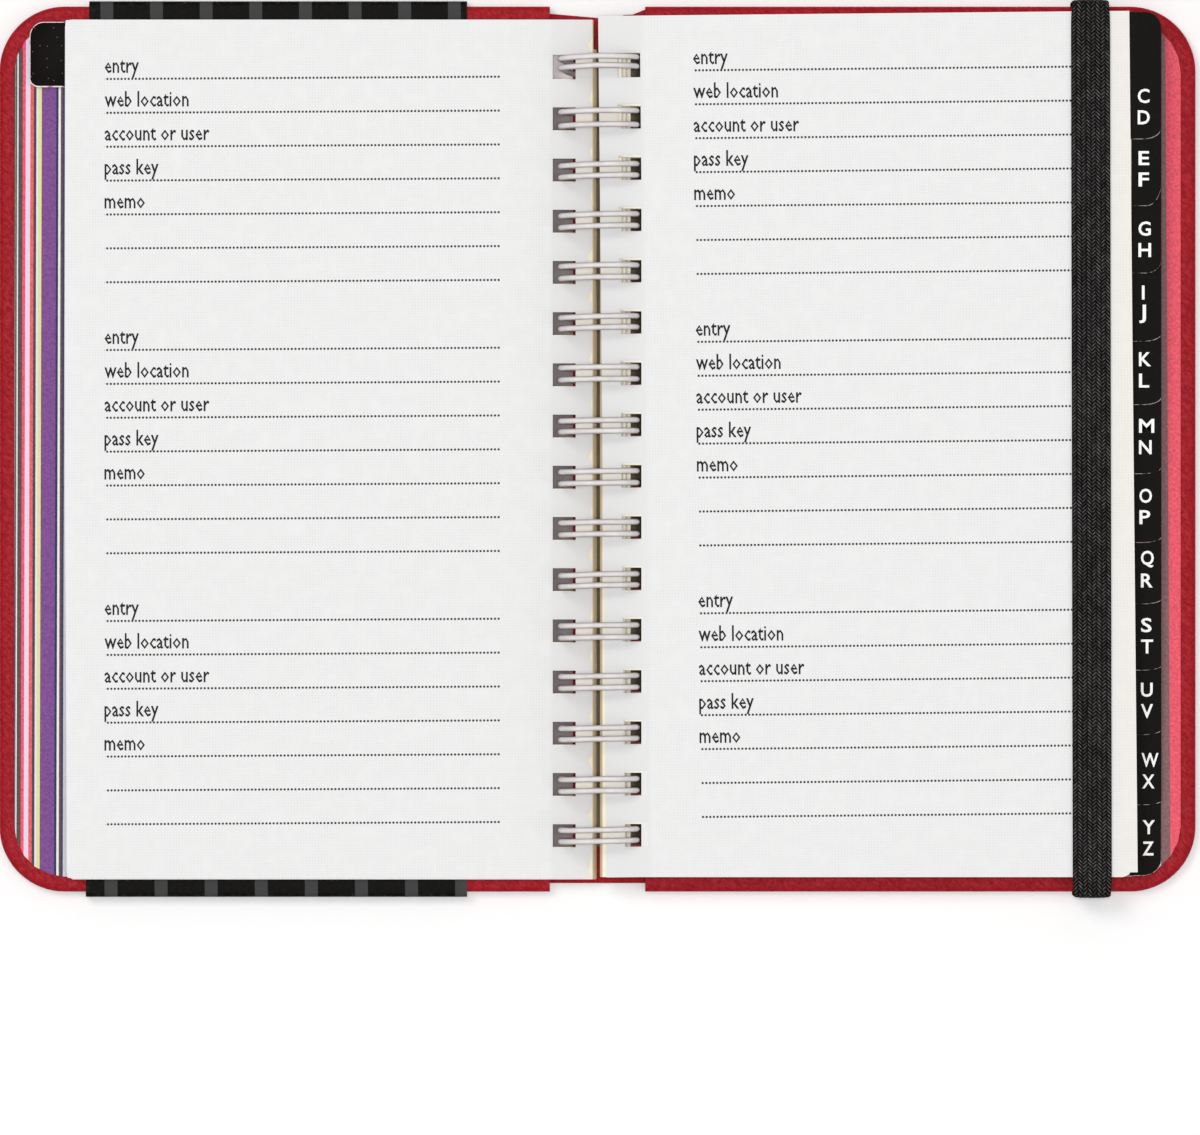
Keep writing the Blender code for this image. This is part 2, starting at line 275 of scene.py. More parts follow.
def page_paper():
    """Pale laid paper with dotted writing rules.

    rest holds (distance from the gutter, height, page side). The side is 0 for a right-hand page and 1
    for a left-hand one, plus 2 on the leaves further down. The paper is yellower under the wire, and set
    lighter there as painted light against the wires' shade. The leaves further down carry painted shade
    along their hole edges, at their inner edge in the gutter and, on the left, at their fore edge.
    """
    m = Finish("page_paper")
    rest = m.rest()
    u, y, side = m.split(rest)
    under = m.math("GREATER_THAN", side, 1.5)
    kind = m.math("SUBTRACT", side, m.math("MULTIPLY", under, 2.0))
    flat = m.join(u, y, m.math("MULTIPLY", kind, 40.0))
    soft = m.noise(flat, 1.4, 2.0, 0.5)
    wander = m.math("MULTIPLY", m.math("SUBTRACT", soft, 0.5), 0.9)
    lines_u = m.math("SINE", m.math("ADD", m.math("MULTIPLY", u, 2 * math.pi / 0.50), wander))
    lines_y = m.math("SINE", m.math("ADD", m.math("MULTIPLY", y, 2 * math.pi / 0.47), wander))
    linen = m.math("ADD", m.map(lines_u, 0.2, 1.0), m.map(lines_y, 0.2, 1.0))
    patch = m.map(m.noise(flat, 0.35, 3.0, 0.6), 0.30, 0.62)
    inside = m.map(u, 7.2, 8.2)                       # the punched strip is plain
    linen = m.math("MULTIPLY", m.math("MULTIPLY", linen, patch), inside)
    fibre = m.noise(flat, 5.0, 3.0, 0.6)
    base = m.mix(inside, srgb(226, 226, 226), srgb(232, 232, 232))
    cream = m.math("MULTIPLY", m.map(u, 84.0, 86.0), m.math("SUBTRACT", 1.0, kind))
    base = m.mix(cream, base, srgb(235, 232, 225))
    head = m.math("MULTIPLY", m.math("GREATER_THAN", y, 59.5), 0.9)
    from_loop = [m.math("MULTIPLY", m.math("ABSOLUTE", m.math("SUBTRACT", m.math("FRACT", m.math("DIVIDE", at, PITCH)), 0.5)), PITCH)
                 for at in (m.math("ADD", y, 0.5), m.math("ADD", m.math("SUBTRACT", y, head), 0.6))]
    bound = m.math("LESS_THAN", m.math("ABSOLUTE", y), 67.0)
    by_loop = m.math("MULTIPLY", m.map(from_loop[0], 2.5, 2.1), bound)
    low_leaf = m.math("MAXIMUM", m.math("MULTIPLY", by_loop, m.map(u, 7.5, 7.1)), m.map(u, 1.15, 0.85))
    top_leaf = m.math("MULTIPLY", m.math("MULTIPLY", m.map(from_loop[1], 1.10, 0.80), bound), m.map(u, 3.9, 3.5))
    # cream under the wire, set lighter than the page: painted light against the wires' shade, between the wires on the
    # top leaf and round the holes further down
    cream_and_painted_light = m.math("ADD", m.math("MULTIPLY", under, low_leaf), m.math("MULTIPLY", m.math("SUBTRACT", 1.0, under), top_leaf))
    base = m.mix(cream_and_painted_light, base, m.mix(under, srgb(240, 235, 226), srgb(246, 239, 220)))
    base = m.mix(m.math("MULTIPLY", under, m.map(u, 2.4, 1.6, 0.0, 0.9)), base, srgb(247, 238, 213))
    base = m.mix(m.math("MULTIPLY", under, m.map(u, 0.90, 0.74)), base, srgb(190, 170, 134))   # painted shade at the inner edge of the leaves further down, deep in the gutter
    # painted shadow line along the hole edge of each leaf further down
    grime = m.math("MULTIPLY", m.math("MULTIPLY", m.attribute("grime").outputs["Fac"], under), by_loop)
    base = m.mix(m.math("MULTIPLY", grime, 0.60), base, srgb(110, 98, 76))
    base = m.mix(m.math("MULTIPLY", linen, 0.16), base, srgb(198, 199, 200))
    base = m.mix(m.math("MULTIPLY", m.map(fibre, 0.35, 0.75), 0.10), base, srgb(246, 245, 242))
    # painted shade on the fore edge of the left leaves further down
    base = m.mix(m.math("MULTIPLY", m.math("MULTIPLY", under, kind), m.map(u, 86.9, 87.3, 0.0, 0.8)), base, srgb(186, 186, 186))
    # rules: 23 rows, with rows 7 and 15 left blank
    y0 = m.math("ADD", m.math("MULTIPLY", kind, Y0_LEFT - Y0_RIGHT), Y0_RIGHT)
    row = m.math("DIVIDE", m.math("SUBTRACT", y0, y), RULE_STEP)
    near = m.math("ROUND", row)
    off_y = m.math("MULTIPLY", m.math("SUBTRACT", row, near), RULE_STEP)
    dot = m.math("DIVIDE", m.math("SUBTRACT", u, RULE_IN), DOT_STEP)
    off_u = m.math("MULTIPLY", m.math("SUBTRACT", m.math("FRACT", dot), 0.5), DOT_STEP)
    reach = m.math("SQRT", m.math("ADD", m.math("MULTIPLY", off_y, off_y), m.math("MULTIPLY", off_u, off_u)))
    ink = m.map(reach, 0.165, 0.225, 1.0, 0.0)
    ink = m.math("MULTIPLY", ink, m.between(u, RULE_IN, RULE_OUT))
    ink = m.math("MULTIPLY", ink, m.between(near, -0.5, 22.5))
    for blank in (7, 15):
        ink = m.math("MULTIPLY", ink, m.math("GREATER_THAN", m.math("ABSOLUTE", m.math("SUBTRACT", near, blank)), 0.5))
    ink = m.math("MULTIPLY", ink, m.map(fibre, 0.2, 0.6, 0.80, 1.0))
    colour = m.mix(ink, base, srgb(30, 30, 32))
    m.set(Base_Color=colour, Roughness=m.map(fibre, 0.3, 0.7, 0.72, 0.86), Specular_IOR_Level=0.15,
          Normal=m.bump(m.math("ADD", m.math("MULTIPLY", linen, -0.5), m.math("MULTIPLY", fibre, 0.3)), 0.25, 0.03))
    return m.mat


def cut_edge():
    """The cut edges of the leaves, a little warmer than their faces."""
    m = Finish("paper_cut_edge")
    rest = m.object_mm()
    grainy = m.noise(m.turned(rest, (0, 0, 0), (0.5, 0.5, 7.0)), 2.0, 3.0, 0.6)
    cloud = m.noise(rest, 0.12, 2.0, 0.5)
    colour = m.ramp(m.math("ADD", m.math("MULTIPLY", grainy, 0.6), m.math("MULTIPLY", cloud, 0.4)),
                    [(0.3, srgb(206, 199, 180)), (0.7, srgb(240, 236, 226))])
    m.set(Base_Color=colour, Roughness=m.map(grainy, 0.3, 0.7, 0.78, 0.92), Specular_IOR_Level=0.15)
    return m.mat


def tab_black(specks):
    m = Finish("tab_black" if specks else "tab_black_front")
    rest = m.object_mm()
    fibre = m.noise(rest, 3.0, 4.0, 0.65)
    colour = m.ramp(fibre, [(0.3, (0.0030, 0.0028, 0.0022, 1)), (0.7, (0.0056, 0.0051, 0.0043, 1))])
    if specks:
        seed = m.add("TexVoronoi", {"Vector": rest, "Scale": 0.50}, voronoi_dimensions="2D").outputs["Distance"]
        colour = m.mix(m.map(seed, 0.016, 0.046, 0.30, 0.0), colour, srgb(226, 222, 218))
    m.set(Base_Color=colour, Roughness=m.map(fibre, 0.3, 0.7, 0.52, 0.66), Specular_IOR_Level=0.055,
          Normal=m.bump(fibre, 0.15, 0.03))
    return m.mat


def tab_rim(worn):
    """The cut edge of a tab: black card with its pale core showing in places."""
    m = Finish("tab_edge_worn" if worn else "tab_edge")
    rest = m.object_mm()
    patch = m.noise(m.turned(rest, (0, 0, 0), (1, 1, 0.2)), 0.9, 3.0, 0.6)
    fibre = m.noise(rest, 5.0, 2.0, 0.6)
    show = m.map(m.math("ADD", patch, m.math("MULTIPLY", fibre, 0.15)), 0.44 if worn else 0.49, 0.60 if worn else 0.70)
    m.set(Base_Color=m.mix(show, srgb(176, 92, 98) if worn else srgb(44, 40, 38), srgb(246, 230, 227) if worn else srgb(214, 196, 192)),
          Roughness=m.map(fibre, 0.3, 0.7, 0.70, 0.85), Specular_IOR_Level=0.12)
    return m.mat


def tab_side():
    """The outer cut edge of a tab, rubbed grey in places by handling."""
    m = Finish("tab_side")
    rest = m.object_mm()
    rub = m.noise(m.turned(rest, (0, 0, 0), (1, 0.35, 0.6)), 1.2, 3.0, 0.6)
    m.set(Base_Color=m.ramp(rub, [(0.40, srgb(24, 22, 20)), (0.62, srgb(52, 48, 46)), (0.72, srgb(104, 98, 94))]),
          Roughness=m.map(rub, 0.3, 0.7, 0.60, 0.80), Specular_IOR_Level=0.10, Normal=m.bump(rub, 0.2, 0.03))
    return m.mat


def ink_black():
    m = Finish("label_ink")
    fibre = m.noise(m.object_mm(), 7.0, 3.0, 0.6)
    m.set(Base_Color=m.ramp(fibre, [(0.3, srgb(22, 22, 24)), (0.75, srgb(52, 52, 54))]),
          Roughness=m.map(fibre, 0.3, 0.7, 0.65, 0.85), Specular_IOR_Level=0.1)
    return m.mat


def ink_white():
    m = Finish("tab_letter_white")
    fibre = m.noise(m.object_mm(), 5.0, 3.0, 0.6)
    m.set(Base_Color=m.ramp(fibre, [(0.3, srgb(244, 243, 241)), (0.7, srgb(255, 255, 254))]),
          Roughness=m.map(fibre, 0.3, 0.7, 0.55, 0.75), Specular_IOR_Level=0.15)
    return m.mat


def coated_wire():
    m = Finish("white_coated_wire")
    rest = m.object_mm()
    cloud = m.noise(rest, 0.5, 3.0, 0.55)
    fine = m.noise(rest, 5.0, 2.0, 0.6)
    colour = m.ramp(cloud, [(0.3, srgb(218, 211, 209)), (0.55, srgb(227, 222, 221)), (0.8, srgb(235, 232, 231))])
    chip = m.map(m.noise(rest, 1.7, 5.0, 0.75), 0.70, 0.76)
    colour = m.mix(m.math("MULTIPLY", chip, 0.45), colour, srgb(170, 164, 160))
    shade = m.attribute("shade").outputs["Fac"]              # painted shade on the wire's sides and underside and low in the holes, and a painted darker reflection at the top of each loop
    # the colour of the painted shade on the wire
    grime = m.mix(cloud, srgb(108, 100, 102), srgb(132, 122, 124))
    colour = m.mix(shade, grime, colour)
    m.set(Base_Color=colour, Roughness=m.map(fine, 0.3, 0.7, 0.40, 0.52), Specular_IOR_Level=0.3,
          Normal=m.bump(fine, 0.12, 0.03))
    return m.mat


def braided_elastic():
    m = Finish("black_braided_elastic")
    # painted highlight and shade: the yarn crests are lighter and the gaps between them darker
    yarn = m.attribute("yarn").outputs["Fac"]
    rest = m.rest()
    fuzz = m.noise(rest, 4.4, 3.0, 0.65)
    cloud = m.noise(rest, 0.25, 3.0, 0.6)
    level = m.math("ADD", yarn, m.math("MULTIPLY", m.math("SUBTRACT", fuzz, 0.5), 1.1))
    level = m.math("ADD", level, m.math("MULTIPLY", m.math("SUBTRACT", cloud, 0.5), 0.25))
    colour = m.ramp(level, [(0.10, (0.0016, 0.0015, 0.0014, 1)), (0.42, (0.0068, 0.0064, 0.0061, 1)),
                            (0.72, (0.050, 0.047, 0.046, 1)), (1.0, (0.150, 0.144, 0.141, 1))])
    m.set(Base_Color=colour, Roughness=m.map(fuzz, 0.3, 0.7, 0.70, 0.88), Specular_IOR_Level=0.03,
          Normal=m.bump(fuzz, 0.3, 0.05))
    return m.mat


def band_paper():
    """Printed sleeve. rest holds (x, y on the developed sheet, 1 outside or 0 inside)."""
    m = Finish("printed_band")
    rest = m.rest()
    x, y, out = m.split(rest)
    fibre = m.noise(m.join(x, y, m.math("MULTIPLY", out, 9.0)), 3.0, 4.0, 0.65)
    stripe = m.math("FRACT", m.math("DIVIDE", m.math("ADD", x, 82.0), 8.175))
    soft = m.math("MULTIPLY", m.map(stripe, 0.0, 0.010), m.map(stripe, 0.258, 0.268, 1.0, 0.0))
    face = m.mix(soft, (0.0040, 0.0037, 0.0029, 1), srgb(66, 66, 66))
    # the label: two plain bars, two rows of ticks and a blank ruled panel
    front = m.math("GREATER_THAN", m.attribute("front").outputs["Fac"], 0.5)
    red = m.math("MULTIPLY", m.math("ADD", m.between(y, 44.0, 47.1), m.between(y, -38.0, -34.9)), front)
    face = m.mix(red, face, srgb(214, 22, 48))
    tick = m.math("DIVIDE", m.math("ADD", x, 83.8), 1.04)
    cell = m.math("FLOOR", tick)
    pick = m.add("TexWhiteNoise", {"W": cell}, noise_dimensions="1D").outputs["Value"]
    ticks = m.ramp(pick, [(0.0, srgb(250, 250, 250)), (0.30, srgb(30, 28, 28)), (0.48, srgb(178, 172, 214)),
                          (0.66, srgb(84, 58, 148)), (0.84, srgb(196, 204, 104))], hard=True)
    rows = m.math("MULTIPLY", m.math("ADD", m.between(y, 42.4, 44.0), m.between(y, -34.9, -33.3)), front)
    face = m.mix(rows, face, ticks)
    panel = m.math("MULTIPLY", m.between(y, -33.3, 42.4), front)
    frame_x = m.math("ADD", m.between(x, -82.0, -81.3), m.between(x, -24.1, -23.4))
    frame_y = m.math("ADD", m.between(y, 39.9, 40.6), m.between(y, -31.5, -30.8))
    border = m.math("MULTIPLY", m.math("MAXIMUM", m.math("MULTIPLY", frame_x, m.between(y, -31.5, 40.6)),
                                       m.math("MULTIPLY", frame_y, m.between(x, -82.0, -23.4))), 1.0)
    rules = m.math("FRACT", m.math("DIVIDE", m.math("ADD", y, 24.0), 9.5))
    rules = m.math("MULTIPLY", m.math("LESS_THAN", rules, 0.045), m.between(x, -76.0, -29.4))
    rules = m.math("MULTIPLY", rules, m.between(y, -25.0, 24.0))
    block = m.math("MULTIPLY", m.between(y, 29.0, 34.5), m.between(x, -76.0, -29.4))
    sheet = m.mix(border, srgb(250, 250, 248), srgb(84, 58, 148))
    sheet = m.mix(rules, sheet, srgb(178, 172, 190))
    sheet = m.mix(block, sheet, srgb(226, 222, 240))
    face = m.mix(panel, face, sheet)
    colour = m.mix(out, srgb(238, 236, 230), face)
    wear = m.attribute("rim").outputs["Fac"]
    scuff = m.math("MULTIPLY", wear, m.map(m.noise(rest, 1.3, 4.0, 0.7), 0.46, 0.70))
    colour = m.mix(m.math("MULTIPLY", scuff, 0.16), colour, srgb(112, 110, 108))
    shade = m.ramp(fibre, [(0.3, (0.88, 0.88, 0.88, 1)), (0.7, (1.0, 1.0, 1.0, 1))])
    colour = m.mix(1.0, colour, shade, "MULTIPLY")
    m.set(Base_Color=colour, Roughness=m.map(fibre, 0.3, 0.7, 0.46, 0.58), Specular_IOR_Level=0.038,
          Normal=m.bump(fibre, 0.12, 0.03))
    return m.mat


# ---- mesh making ------------------------------------------------------------------
class Build:
    """Points and faces of one piece, in millimetres."""

    def __init__(self):
        self.points, self.rest, self.faces, self.mats, self.extra = [], [], [], [], {}
        self.count = 0

    def add(self, points, faces, mat=0, rest=None, **extra):
        points = np.asarray(points, float).reshape(-1, 3)
        base = self.count
        self.points.append(points)
        self.rest.append(points if rest is None else np.asarray(rest, float).reshape(-1, 3))
        for key, values in extra.items():
            self.extra.setdefault(key, []).append((base, np.asarray(values, float)))
        self.count += len(points)
        for f in faces:
            self.faces.append([base + int(i) for i in f])
        self.mats.extend(mat if isinstance(mat, (list, tuple)) else [mat] * len(faces))
        return base

    def piece(self, name, materials, angle=40.0):
        points, rest = np.concatenate(self.points), np.concatenate(self.rest)
        used = np.unique(np.concatenate([np.asarray(f) for f in self.faces]))
        place = np.full(len(points), -1)
        place[used] = np.arange(len(used))
        faces = [[int(place[i]) for i in f] for f in self.faces]
        mesh = bpy.data.meshes.new(name)
        mesh.from_pydata((points[used] * MM).tolist(), [], faces)
        for mat in materials:
            mesh.materials.append(mat)
        mesh.polygons.foreach_set("material_index", np.array(self.mats, np.int32))
        store = mesh.attributes.new("rest", "FLOAT_VECTOR", "POINT")
        store.data.foreach_set("vector", rest[used].astype(np.float32).ravel())
        for key, parts in self.extra.items():
            values = np.zeros(len(points))
            for base, part in parts:
                values[base:base + len(part)] = part
            store = mesh.attributes.new(key, "FLOAT", "POINT")
            store.data.foreach_set("value", values[used].astype(np.float32))
        mesh.update()
        mesh.shade_smooth()
        mesh.set_sharp_from_angle(angle=math.radians(angle))
        obj = bpy.data.objects.new(name, mesh)
        bpy.context.scene.collection.objects.link(obj)
        return obj


def grid_faces(rows, cols, closed_rows=False, closed_cols=False, flip=False):
    faces = []
    for i in range(rows if closed_rows else rows - 1):
        for j in range(cols if closed_cols else cols - 1):
            a, b = i * cols + j, ((i + 1) % rows) * cols + j
            c, d = ((i + 1) % rows) * cols + (j + 1) % cols, i * cols + (j + 1) % cols
            faces.append((a, d, c, b) if flip else (a, b, c, d))
    return faces


def arc(cx, cy, r, a0, a1, n):
    t = np.radians(np.linspace(a0, a1, n))
    return [(cx + r * math.cos(a), cy + r * math.sin(a)) for a in t]


# ---- covers -------------------------------------------------------------------------
BOARD_EDGE, FAR, HIGH, CORNER = 7.9, 99.0, 73.25, 10.8


def cover_line(inset):
    """The cover's edge from one spine corner round the fore edge to the other, moved inward."""
    far, high = FAR - inset, HIGH - inset
    r = max(CORNER - inset, 0.6)
    top = [(x, high) for x in np.linspace(BOARD_EDGE, far - r, 36)]
    top += arc(far - r, high - r, r, 90, 0, 18)[1:]
    fore = [(far, y) for y in np.linspace(high - r, -(high - r), 44)[1:]]
    low = arc(far - r, -(high - r), r, 0, -90, 18)[1:]
    low += [(x, -high) for x in np.linspace(far - r, BOARD_EDGE, 36)[1:]]
    return np.array(top + fore + low)


def cover_shell(name, side, base, mat):
    """Leatherette wrap: outer sheet, rounded edge and the turn-in on three sides."""
    outer = [(14.0, 0), (8, 0), (4, 0), (2, 0), (1.3, 0)]
    outer += [(0.85 - 0.85 * math.sin(a), 0.85 - 0.85 * math.cos(a)) for a in np.radians(np.linspace(8, 90, 7))]
    outer += [(0, 1.35)]
    outer += [(0.85 - 0.85 * math.cos(a), 1.85 + 0.85 * math.sin(a)) for a in np.radians(np.linspace(0, 84, 7))]
    outer += [(1.3, 2.7), (2.2, 2.7), (4, 2.7), (8, 2.7), (12.6, 2.7)]
    inner = [(12.6, 2.4), (6, 2.4), (1.0, 2.4), (0.55, 2.2), (0.4, 1.8), (0.4, 0.9), (0.55, 0.55), (1.0, 0.4), (6, 0.4), (14.0, 0.4)]
    profile = outer + inner
    lines = [cover_line(d) for d, _ in profile]
    n, m = len(lines[0]), len(profile)
    points, rim = [], []
    length = np.concatenate([[0], np.cumsum(np.hypot(*np.diff(lines[0], axis=0).T))])
    for (d, z), line in zip(profile, lines):
        lift = np.zeros(n)
        if d > 1.0 and z > 2.6:                       # small pleats where the turn-in goes round the corners
            turn = np.zeros(n)
            turn[36:53], turn[97:114] = 1.0, 1.0
            turn = np.convolve(turn, np.ones(5) / 5, "same")
            lift = 0.045 * turn * np.sin(length * 5.2) * min(1.0, (d - 0.8) / 1.2) * (1 if d < 9 else 0)
        points.append(np.column_stack([side * line[:, 0], line[:, 1], np.full(n, base + z) + lift]))
        rim.append(np.full(n, max(0.0, 1.0 - abs(d - 0.2) / 0.7) if z > 0.3 and (d, z) in outer else 0.0))
    b = Build()
    flip = side > 0
    faces = grid_faces(m, n, flip=flip)
    ends = []
    for j in (0, n - 1):
        loop = [i * n + j for i in range(m)]
        ends.append(loop if (j == 0) == (side > 0) else loop[::-1])
    bottom, upper = list(range(n)), [(m - 1) * n + j for j in range(n)]
    cap = [bottom if side > 0 else bottom[::-1], upper[::-1] if side > 0 else upper]
    wall = [0, n - 1, (m - 1) * n + n - 1, (m - 1) * n]
    b.add(np.concatenate(points), faces + ends + cap + [wall if side < 0 else wall[::-1]], 0, rim=np.concatenate(rim))
    return b.piece(name, [mat], 50)


def spine_strip(mats):
    """One strip of leatherette that joins the covers, with paper linings on its inner side; the darker lining is a
    painted shade for the gutter and the bottom of the right holes.
    """
    xs = np.linspace(-8.05, 8.05, 66)
    ys = np.linspace(-1.0, 1.0, 97)
    half = len(xs) * len(ys)
    gx, gy = np.meshgrid(xs, ys)
    head = np.interp(gx, [-8.0, 0.0, 3.7, 4.2, 5.8, 7.9], [72.15, 71.45, 71.35, 71.93, 72.0, 72.85])
    gy = np.where(gy > 0, gy * head, gy * 71.88)
    crease = 0.10 * np.exp(-((np.abs(gx) - 6.3) / 0.45) ** 2)
    ripple = 0.02 * np.sin(gx * 1.9 + gy * 0.21) * np.cos(gy * 0.33)
    end = np.clip((np.where(gy > 0, head, 71.88) - np.abs(gy)) / 0.5, 0, 1)
    round_z = 0.10 * (1 - np.sqrt(np.clip(end * (2 - end), 0, 1)))
    low = 0.05 + crease + round_z + 0.02 + ripple
    high = 0.45 - round_z + ripple * 0.5 - 0.12 * np.clip((np.abs(gx) - 7.5) / 0.3, 0, 1)
    b = Build()
    points = np.concatenate([np.column_stack([gx.ravel(), gy.ravel(), low.ravel()]),
                             np.column_stack([gx.ravel(), gy.ravel(), high.ravel()])])
    rows, cols = gx.shape
    down = grid_faces(rows, cols)
    up = [tuple(half + i for i in f[::-1]) for f in down]
    lined = []
    for i in range(rows - 1):
        for j in range(cols - 1):
            x, y = (xs[j] + xs[j + 1]) / 2, abs(gy[i, j] + gy[i + 1, j]) / 2
            # face materials: 0 leatherette, 1 the grey-mauve lining, 2 the darker lining, a painted shade for the
            # gutter and the bottom of the right holes
            lined.append(0 if y > 66.2 else 1 if x < -4.2 else 2 if x > -2.4 else 0)
    ring = [j for j in range(cols)] + [i * cols + cols - 1 for i in range(1, rows)]
    ring += [(rows - 1) * cols + j for j in range(cols - 2, -1, -1)] + [i * cols for i in range(rows - 2, 0, -1)]
    walls = [(ring[i], ring[(i + 1) % len(ring)], half + ring[(i + 1) % len(ring)], half + ring[i]) for i in range(len(ring))]
    b.add(points, down + up + walls, [0] * len(down) + lined + [0] * len(walls), rest=points * (1.9, 1.0, 1.0))
    return b.piece("spine_strip", mats, 50)


# ---- print ---------------------------------------------------------------------------
def word_shape(text, weight=0.0, detail=2):
    """A word of the built-in typeface as a closed thin solid one unit deep."""
    curve = bpy.data.curves.new("word", "FONT")
    curve.body = text
    curve.size = 1.0
    curve.resolution_u = detail
    curve.offset = weight
    curve.extrude = 0.5
    obj = bpy.data.objects.new("word", curve)
    bpy.context.scene.collection.objects.link(obj)
    bpy.context.view_layer.update()
    mesh = bpy.data.meshes.new_from_object(obj.evaluated_get(bpy.context.evaluated_depsgraph_get()))
    bm = bmesh.new()
    bm.from_mesh(mesh)
    bmesh.ops.remove_doubles(bm, verts=bm.verts, dist=1e-5)
    bmesh.ops.recalc_face_normals(bm, faces=bm.faces)
    bm.verts.ensure_lookup_table()
    points = np.array([v.co for v in bm.verts], float)
    faces = [[v.index for v in f.verts] for f in bm.faces]
    bm.free()
    bpy.data.objects.remove(obj)
    bpy.data.curves.remove(curve)
    bpy.data.meshes.remove(mesh)
    points[:, 2] += 0.5
    return points, faces


X_HEIGHT = float(np.ptp(word_shape("x")[0][:, 1]))
CAP_HEIGHT = float(np.ptp(word_shape("H")[0][:, 1]))
LABELS = [word_shape(w, 0.012, 1) for w in ("entry", "web location", "account or user", "pass key", "memo")]
LETTERS = {c: word_shape(c, 0.017, 3) for c in "ABCDEFGHIJKLMNOPQRSTUVWXYZ"}
INK_SINK, INK_RISE = 0.010, 0.012


def overturn(points):
    """Half a turn about the binding axis, as a leaf makes when it is turned."""
    return np.column_stack([-points[:, 0], points[:, 1], TURN - points[:, 2]])


def print_labels(b, mat, left, z, flipped, shape):
    """The field names of one page. shape moves points from the flat page to the lying one."""
    size = 1.66 / X_HEIGHT
    x0, y0 = (-RULE_OUT, Y0_LEFT) if left else (RULE_IN - 0.15, Y0_RIGHT)
    for block in range(3):
        for row, (points, faces) in enumerate(LABELS):
            p = points * (size * 0.73, size, INK_SINK + INK_RISE)
            p[:, 0] += x0 - p[:, 0].min()
            p[:, 1] += y0 - RULE_STEP * (8 * block + row) + 1.03
            p[:, 2] += z - INK_SINK
            if flipped:
                p[:, 2] += TURN - 2 * z
                p = overturn(p)
            b.add(shape(p), faces, mat)


LETTER_WIDTH = dict(zip("ABCDEFGHIJKLMNOPQRSTUVWXYZ", (
    2.20, 1.90, 2.05, 2.09, 1.85, 1.82, 2.15, 2.20, 0.46, 1.20, 2.10, 1.78, 2.66, 2.20, 2.20, 1.90, 2.25, 2.05,
    1.85, 2.10, 2.05, 2.10, 2.95, 2.15, 2.15, 1.95)))


def print_letters(b, mat, letters, x_left, tab_low, z, flipped, shape):
    size = 2.20 / CAP_HEIGHT
    for letter, rise in zip(letters, (7.55, 4.02)):
        points, faces = LETTERS[letter]
        width = LETTER_WIDTH[letter] * 0.95
        p = points * (width / np.ptp(points[:, 0]), size, INK_SINK + INK_RISE)
        p[:, 0] += x_left + max(0.0, 1.1 - width) * 0.7 - max(0.0, width - 2.7) - p[:, 0].min()
        p[:, 1] += tab_low + rise - (p[:, 1].min() + p[:, 1].max()) / 2
        p[:, 2] += z - INK_SINK
        if flipped:
            p[:, 2] += TURN - 2 * z
            p = overturn(p)
        b.add(shape(p), faces, mat)


# ---- leaves -----------------------------------------------------------------------------
PAGE, EDGE, TAB, INK, WHITE, RIM, SIDE = range(7)
LOOPS, PITCH = 16, 8.467
LOOP_Y = [(i - (LOOPS - 1) / 2) * PITCH for i in range(LOOPS)]


